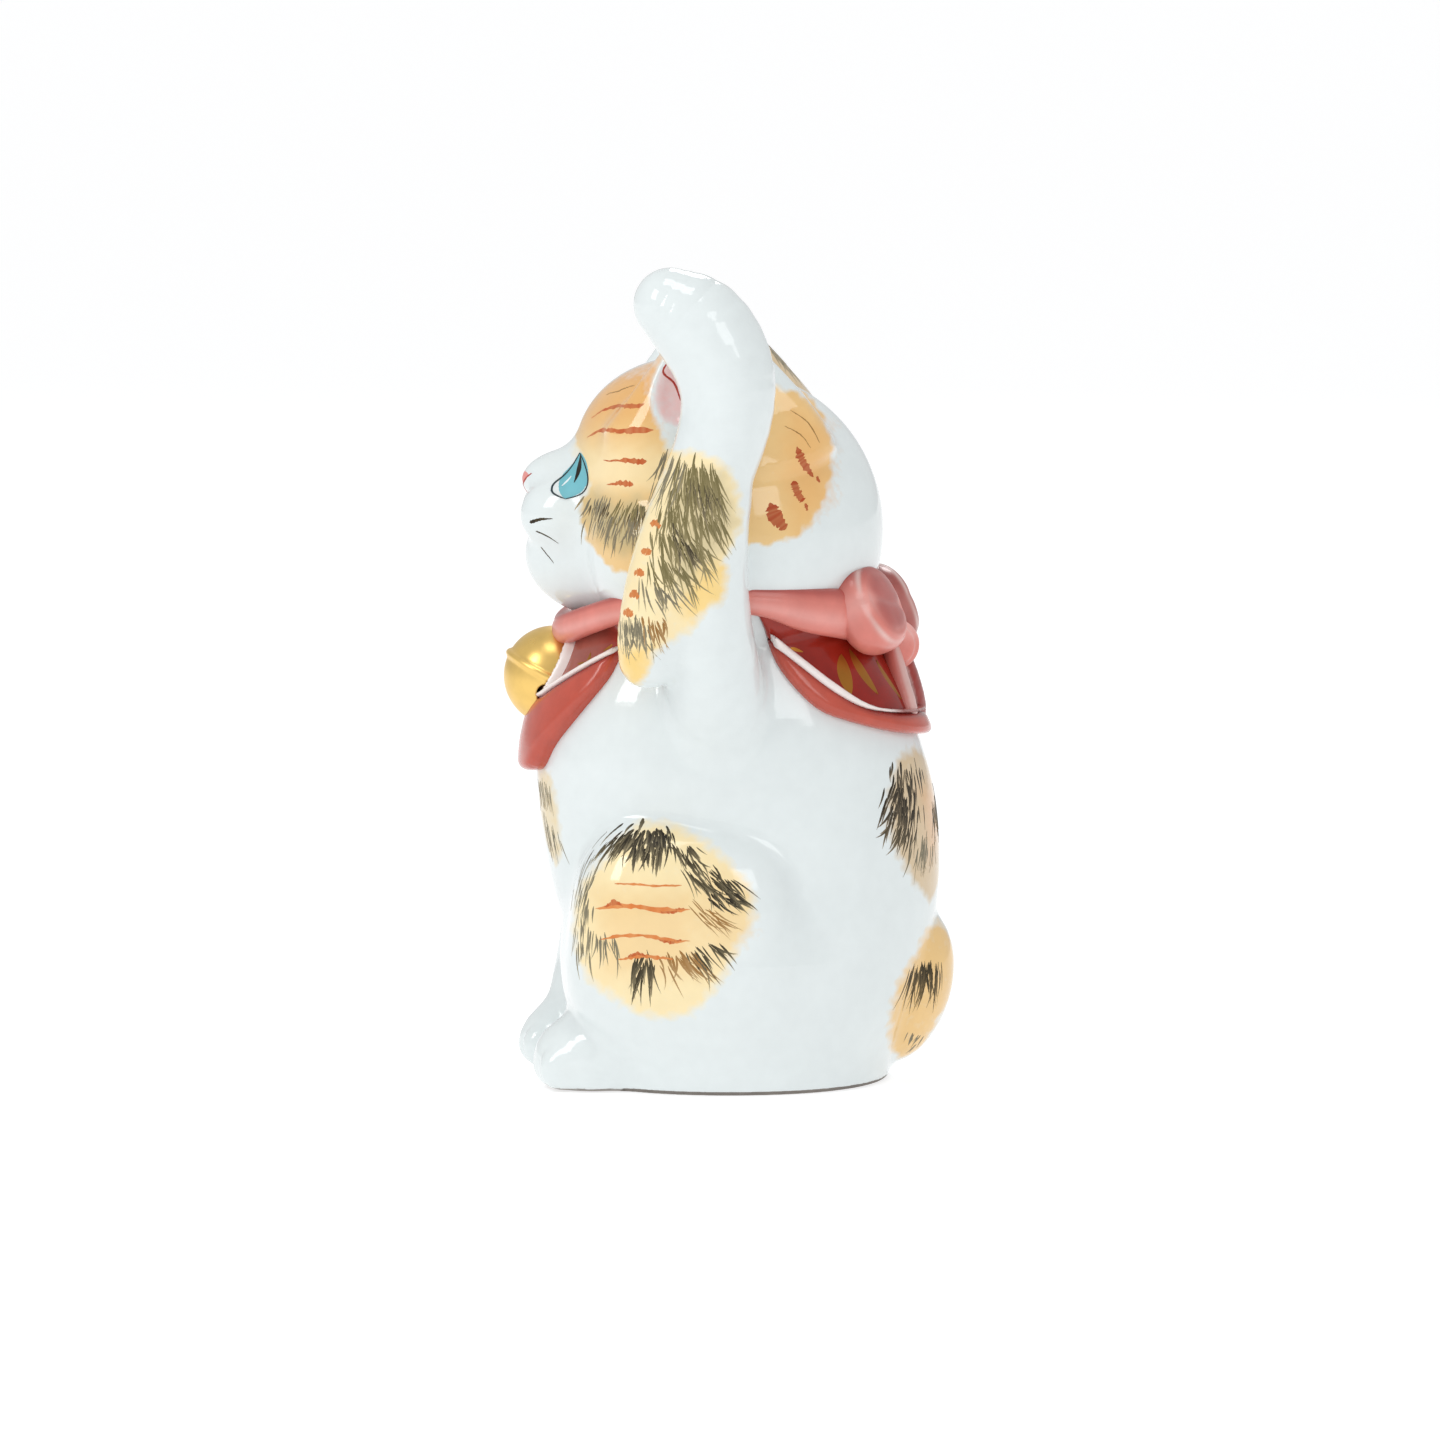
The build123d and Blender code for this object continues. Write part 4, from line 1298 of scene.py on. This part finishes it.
HAUNCH_STRIPES = (
    (((-17.8, 27.8), (-16.4, 28.5), (-15, 28.1)), (0.15, 0.5, 0.15), RUST, 1),
    (((-9.8, 27.5), (-8.2, 27.4), (-6.2, 27.9)), (0.12, 0.42, 0.15), RUST, 1),
    (((-10, 23.5), (-8.4, 23.1), (-6.6, 23.3)), (0.12, 0.4, 0.12), RUST, 1),
    (((-14.4, 20.7), (-12.8, 21.3), (-11.6, 20.9)), (0.12, 0.45, 0.12), RUST, 1),
    (((-16.3, 31), (-11.4, 31.3), (-6.6, 31.2)), (0.1, 0.22, 0.16, 0.1), STRIPE, 1),
    (((-19.1, 27.5), (-14, 28.2), (-9, 27.6), (-5.4, 27.8)), (0.1, 0.42, 0.3, 0.42, 0.12), STRIPE, 1),
    (((-18.4, 23.2), (-13, 24), (-8, 23.2), (-5.4, 23.4)), (0.1, 0.32, 0.26, 0.34, 0.1), STRIPE, 1),
    (((-15.8, 20.4), (-12, 21), (-7.8, 20.4)), (0.1, 0.3, 0.3, 0.12), STRIPE, 1),
)
SOOT_FUR = (
    (-20.2, 85.2, -16.8, 86.2, -130, -112, 3, 24, 0.14, GREY),
    (-16.4, 85.2, -11.2, 85.6, -112, -84, 3.6, 34, 0.14, OLIVE),
    (-19.2, 83.4, -12.4, 83, -124, -80, 3.4, 44, 0.14, GREY),
    (-18, 81.4, -13.4, 81.6, -118, -86, 2.8, 22, 0.13, GREY),
    (-19.2, 84.8, -17, 85.4, -122, -108, 2.4, 12, 0.16, DARK),
    (-13.2, 84.4, -11.4, 84.2, -96, -84, 2.6, 12, 0.16, DARK),
)
HEAD_STRIPES = (
    (((-17.6, 100.6), (-13.5, 102.2)), (0.06, 0.2, 0.1), BROWN, 0.8),
    (((-19.8, 97.2), (-17.4, 98.8), (-12, 100.1)), (0.1, 0.3, 0.45, 0.3), RUST, 1),
    (((-20.4, 94.6), (-17.6, 95.9), (-10.7, 96.4)), (0.12, 0.35, 0.5, 0.3), RUST, 1),
    (((-18, 91.6), (-14, 91.8), (-11.7, 91.9)), (0.08, 0.14, 0.5, 0.4), RUST, 1),
    (((-17.5, 88.2), (-15.2, 88.5), (-13.6, 88.3)), (0.06, 0.2, 0.5, 0.3), RUST, 1),
)
BEHIND_MARKS = (
    (((10, 93.9), (11, 91.4), (12.4, 89.5)), (0.3, 0.75, 0.65, 0.25), RED_BROWN, 0.9),
    (((9.5, 88.9), (10, 87.4), (10.9, 86.3)), (0.45, 0.8, 0.6), RED_BROWN, 0.9),
    (((6.1, 86.2), (6.9, 84), (8.3, 82.1)), (0.5, 1.35, 1.2, 0.5), RED_BROWN, 0.9),
    (((12.9, 89.5), (13.3, 88.5)), (0.2, 0.35, 0.2), RED_BROWN, 0.8),
    (((11.2, 85.8), (11.5, 84.7)), (0.2, 0.35, 0.2), RED_BROWN, 0.8),
    (((9, 99.2), (11.6, 97.4), (13.3, 94.3)), (0.05, 0.12, 0.08), BROWN, 0.6),
    (((8.2, 97), (10.6, 95.6), (12, 93.6)), (0.05, 0.10, 0.05), BROWN, 0.6),
)
ARM_FUR = (
    (-8.8, 93.2, -6.4, 92.4, -114, -102, 7, 20, 0.16, GREY),
    (-6.6, 92.6, -1.8, 91.4, -104, -68, 7.5, 46, 0.17, OLIVE),
    (-8.6, 89.4, -1, 88, -100, -70, 6.5, 42, 0.15, OLIVE),
    (-5.6, 90.6, -1.8, 88.6, -92, -68, 5.5, 20, 0.18, DARK),
    (-9.6, 85.8, -1.2, 84.6, -92, -66, 6, 44, 0.16, OLIVE),
    (-10.4, 82.2, -3.4, 80.6, -82, -60, 5.8, 40, 0.15, OLIVE),
    (-8.4, 84, -5, 80, -78, -62, 5, 18, 0.17, DARK),
    (-11.4, 78.4, -5.6, 77, -80, -58, 5, 34, 0.15, OLIVE),
    (-11.8, 75, -7, 74, -84, -60, 4, 20, 0.14, GREY),
    (-15.4, 69.6, -12, 69.6, -96, -80, 5, 34, 0.15, GREY),
    (-12.2, 69.8, -9.6, 69.6, -88, -70, 4.4, 16, 0.15, BROWN),
)
ARM_DOTS = tuple(
    (((y - 0.7, z), (y, z + 0.25), (y + 0.7, z - 0.1)), (0.35, 0.62, 0.4), STRIPE * 0.9, 1)
    for y, z in ((-10.4, 83.6), (-11.7, 79.6), (-12.7, 76.5), (-13.4, 73.3), (-14.3, 70.6)))
BACK_FUR = (
    (24.6, 46.8, 27.4, 46, -116, -98, 4, 24, 0.18, BLACK),
    (24.2, 44.4, 27, 42.6, -122, -106, 4.4, 34, 0.19, BLACK),
    (23.8, 41.6, 27.6, 40.2, -126, -108, 4.2, 34, 0.19, BLACK),
    (24.2, 38.4, 27.4, 37.2, -132, -112, 4, 26, 0.16, DARK),
    (27.4, 36, 29.8, 35, -122, -108, 4.6, 26, 0.14, GREY),
)
SPINE_FUR = ((0, 42, 5, 40, -100, -80, 4.6, 36, 0.17, DARK),)
TAIL_FUR = (
    (27, 17.2, 30.6, 16.8, -108, -86, 5.4, 48, 0.17, DARK),
    (27, 6.6, 28.4, 6.2, -104, -96, 2.2, 12, 0.15, GREY),
)
CHEST_FUR = (
    (4.4, 44.2, 9, 43.4, -86, -74, 4.6, 18, 0.12, GREY),
    (5.4, 38.6, 9.6, 37.2, -88, -76, 5, 18, 0.12, GREY),
)
RIGHT_SHOULDER_FUR = (
    (-13, 57, -3, 57.4, -104, -74, 5.4, 60, 0.17, BLACK),
    (-12, 50, -1, 49.6, -110, -68, 5.6, 64, 0.16, DARK),
)
RIGHT_CROWN_MARKS = (
    (((-3, 97), (2, 98.6), (8, 97.4)), (0.2, 0.5, 0.5, 0.2), RUST, 1),
    (((-2, 92.6), (4, 94), (11, 92.4)), (0.2, 0.55, 0.5, 0.2), RUST, 1),
    (((0, 88.2), (5, 89.2), (11, 87.4)), (0.2, 0.5, 0.5, 0.2), RUST, 1),
)
RIGHT_CROWN_FUR = ((-2, 85.6, 10, 84.6, -104, -74, 4.4, 70, 0.16, OLIVE),)
RUMP_FUR = (
    (8, 28, 16, 26, -102, -70, 5, 56, 0.17, BLACK),
    (7, 20.6, 15, 19.4, -104, -72, 4.6, 44, 0.16, DARK),
)
EAR_FUR = ((-19, 111, -13, 104, -70, -80, 4, 36, 0.15, GREY),)


def make_fur():
    """Painted coat: each piece's number is its place in the table, and the seed of its brush."""
    coat = (
        ("haunch_left_fur", seen("left", HAUNCH_FUR), body, CREAM),
        ("haunch_left_stripes", seen("left", HAUNCH_STRIPES), body, None),
        ("cheek_fur", seen("left", SOOT_FUR), seated, TAN),
        ("brow_stripes", seen("left", HEAD_STRIPES), seated, None),
        ("nape_marks", seen("left", BEHIND_MARKS), seated, None),
        ("raised_leg_fur", seen("left", ARM_FUR), body, CREAM),
        ("raised_leg_dots", seen("left", ARM_DOTS), body, None),
        ("back_fur", seen("left", BACK_FUR) + seen("back", SPINE_FUR), body, GREY_TAN),
        ("tail_fur", seen("left", TAIL_FUR), body, TAN),
        ("chest_fur", seen("front", CHEST_FUR), body, GREY_TAN),
        ("haunch_right_fur", seen("right", HAUNCH_FUR), body, CREAM),
        ("haunch_right_stripes", seen("right", HAUNCH_STRIPES), body, None),
        ("shoulder_right_fur", seen("right", RIGHT_SHOULDER_FUR), body, GREY_TAN),
        ("crown_right_stripes", seen("right", RIGHT_CROWN_MARKS), body, None),
        ("crown_right_fur", seen("right", RIGHT_CROWN_FUR), body, TAN),
        ("rump_right_fur", seen("right", RUMP_FUR), body, TAN),
        ("right_ear_fur", seen("back", EAR_FUR), body, GREY_TAN),
    )
    for seed, (name, marks, shape, ground) in enumerate(coat, 1):
        if ground is None:
            strokes_piece(name, marks, shape, seed)
        else:
            hair_piece(name, marks, shape, seed, ground)


# face lines of one side: points from the front, half widths
FACE_LINES = (
    (((0, 87), (1.6, 87.8), (2.9, 88.9)), (0.14, 0.22, 0.12)),
    (((0, 81.8), (1.6, 80.3), (4.2, 80.5)), (0.12, 0.2, 0.1)),
)
# whiskers, and the line inside the ear
SIDE_LINES = (
    (((-28.8, 82.1), (-27.2, 82.6), (-25.4, 82.7)), (0.3, 0.24, 0.05), BLACK, 0.3),
    (((-27.9, 80.8), (-26.4, 80.2), (-24.6, 79.1)), (0.16, 0.14, 0.05), DARK, 0.3),
    (((-27.2, 78.4), (-26.4, 77.4), (-25.3, 76.1)), (0.14, 0.12, 0.05), DARK, 0.3),
    (((-8.4, 106.4), (-9.3, 104.6), (-7.7, 103), (-6.7, 100.2)), (0.1, 0.2, 0.2, 0.1), RED_LINE, 0.3),
)
EYE_LINE = linear(44, 64, 72)
EYE_GLEAM = linear(236, 246, 248)
NOSE = linear(232, 150, 146)


def make_face():
    """Eyes, nose, mouth and whiskers, painted on both sides of the face."""
    eyes, lids, lines = [], [], []
    for side, view in ((1, "left"), (-1, "right")):
        up = np.linspace(0, 1, 9)
        middle = np.stack([side * (9.9 - 2.5 * up), 85.6 + 6.6 * up], 1)
        half = 2.3 * np.sin(np.pi * up) ** 0.75
        eyes.append(("front", middle, np.maximum(1.3 * half, 0.1), TURQUOISE, 0))
        pupil = np.array((side * 8.5, 89.9))
        lean = np.array((-side * 0.7, 2))
        lids.append(("front", (pupil - lean, pupil, pupil + lean), (0.1, 0.6, 1, 0.8, 0.1), BLACK, 0))
        gleam = np.array((side * 8.3, 88.2))
        lids.append(("front", (gleam - lean * 0.4, gleam + lean * 0.3), (0.1, 0.3, 0.1), EYE_GLEAM, 0))
        for hand, width, share in ((-side, 0.17, 0.72), (side, 0.10, 0.95)):
            edge = middle + np.stack([hand * share * half, 0 * half], 1)
            lids.append(("front", edge, (0.1, width, width, width, 0.1), EYE_LINE, 0.15))
        lines += [("front", np.array(at) * (side, 1), wide, RED_LINE, 0.3) for at, wide in FACE_LINES]
        lines += seen(view, SIDE_LINES)
    lines.append(("front", ((0, 87), (0, 84), (0, 81.8)), (0.12, 0.08, 0.12), RED_LINE, 0.2))
    nose = (("front", ((-2.4, 88.6), (0, 88.2), (2.4, 88.6)), (0.2, 0.9, 1.1, 0.9, 0.2), NOSE, 0.2),)
    strokes_piece("eye_colour", eyes, seated, 20, rows=9, lift=0.12)
    strokes_piece("eye_lines", lids, seated, 21, rows=5, lift=0.20)
    strokes_piece("face_lines", lines, seated, 22, rows=3, lift=0.06)
    strokes_piece("nose_tip", nose, seated, 23, rows=7, lift=0.05)


# gilt leaves: tip, tip, half width, on the unrolled front (-1) and back (+1) of the kerchief
LEAVES = {
    -1: (((11.8, 63.4), (11.9, 59.8), 0.5), ((10, 61.7), (13.9, 61.6), 0.45),
         ((9.2, 60.2), (8, 58.6), 0.3), ((14.2, 63.8), (15.4, 64.8), 0.25)),
    1: (((15.6, 63.4), (16.4, 57.6), 1.35), ((13.6, 64), (11.6, 57.4), 1),
        ((19.8, 60.2), (17.6, 58.4), 0.35), ((24.2, 64.6), (22.2, 64), 0.3),
        ((8.2, 62), (6.6, 56.2), 0.7), ((2.2, 61), (3.4, 56.4), 0.7)),
}


def make_leaves():
    """Gilt leaves painted on the kerchief."""
    steps = 18
    s = np.linspace(0, 1, steps)[:, None]
    shape = lambda p: seated(p) - PANEL_DEPTH
    for side, leaves in LEAVES.items():
        lines, widths = [], []
        for start, end, width in leaves:
            for hand in (1, -1):
                at = np.array(start) * (1 - s) + np.array(end) * s
                at = at + 0.25 * np.sin(np.pi * s) * (1, 0.4)
                angle = at[:, 0] / UNROLL * hand
                toward = np.stack([np.sin(angle), side * np.cos(angle), np.zeros(steps)], 1)
                lines.append(marched(at[:, 1:] * (0, 0, 1), toward, shape, 60, 0.7))
                widths.append(np.maximum(width * np.sin(np.pi * s[:, 0]) ** 0.7, 0.02))
        points, tris, normals = brushed(np.stack(lines), np.stack(widths), shape, 5, 0.10, 0.3)
        name = "front" if side < 0 else "back"
        piece(f"kerchief_{name}_gilt_leaves", points, outward(points, tris, normals), normals,
              solid(points, LEAF), GOLD, "gilt")


make_camera()
make_floor()
make_lights()
make_body()
make_kerchief()
make_bow()
make_bell()
make_band()
make_fur()
make_face()
make_leaves()
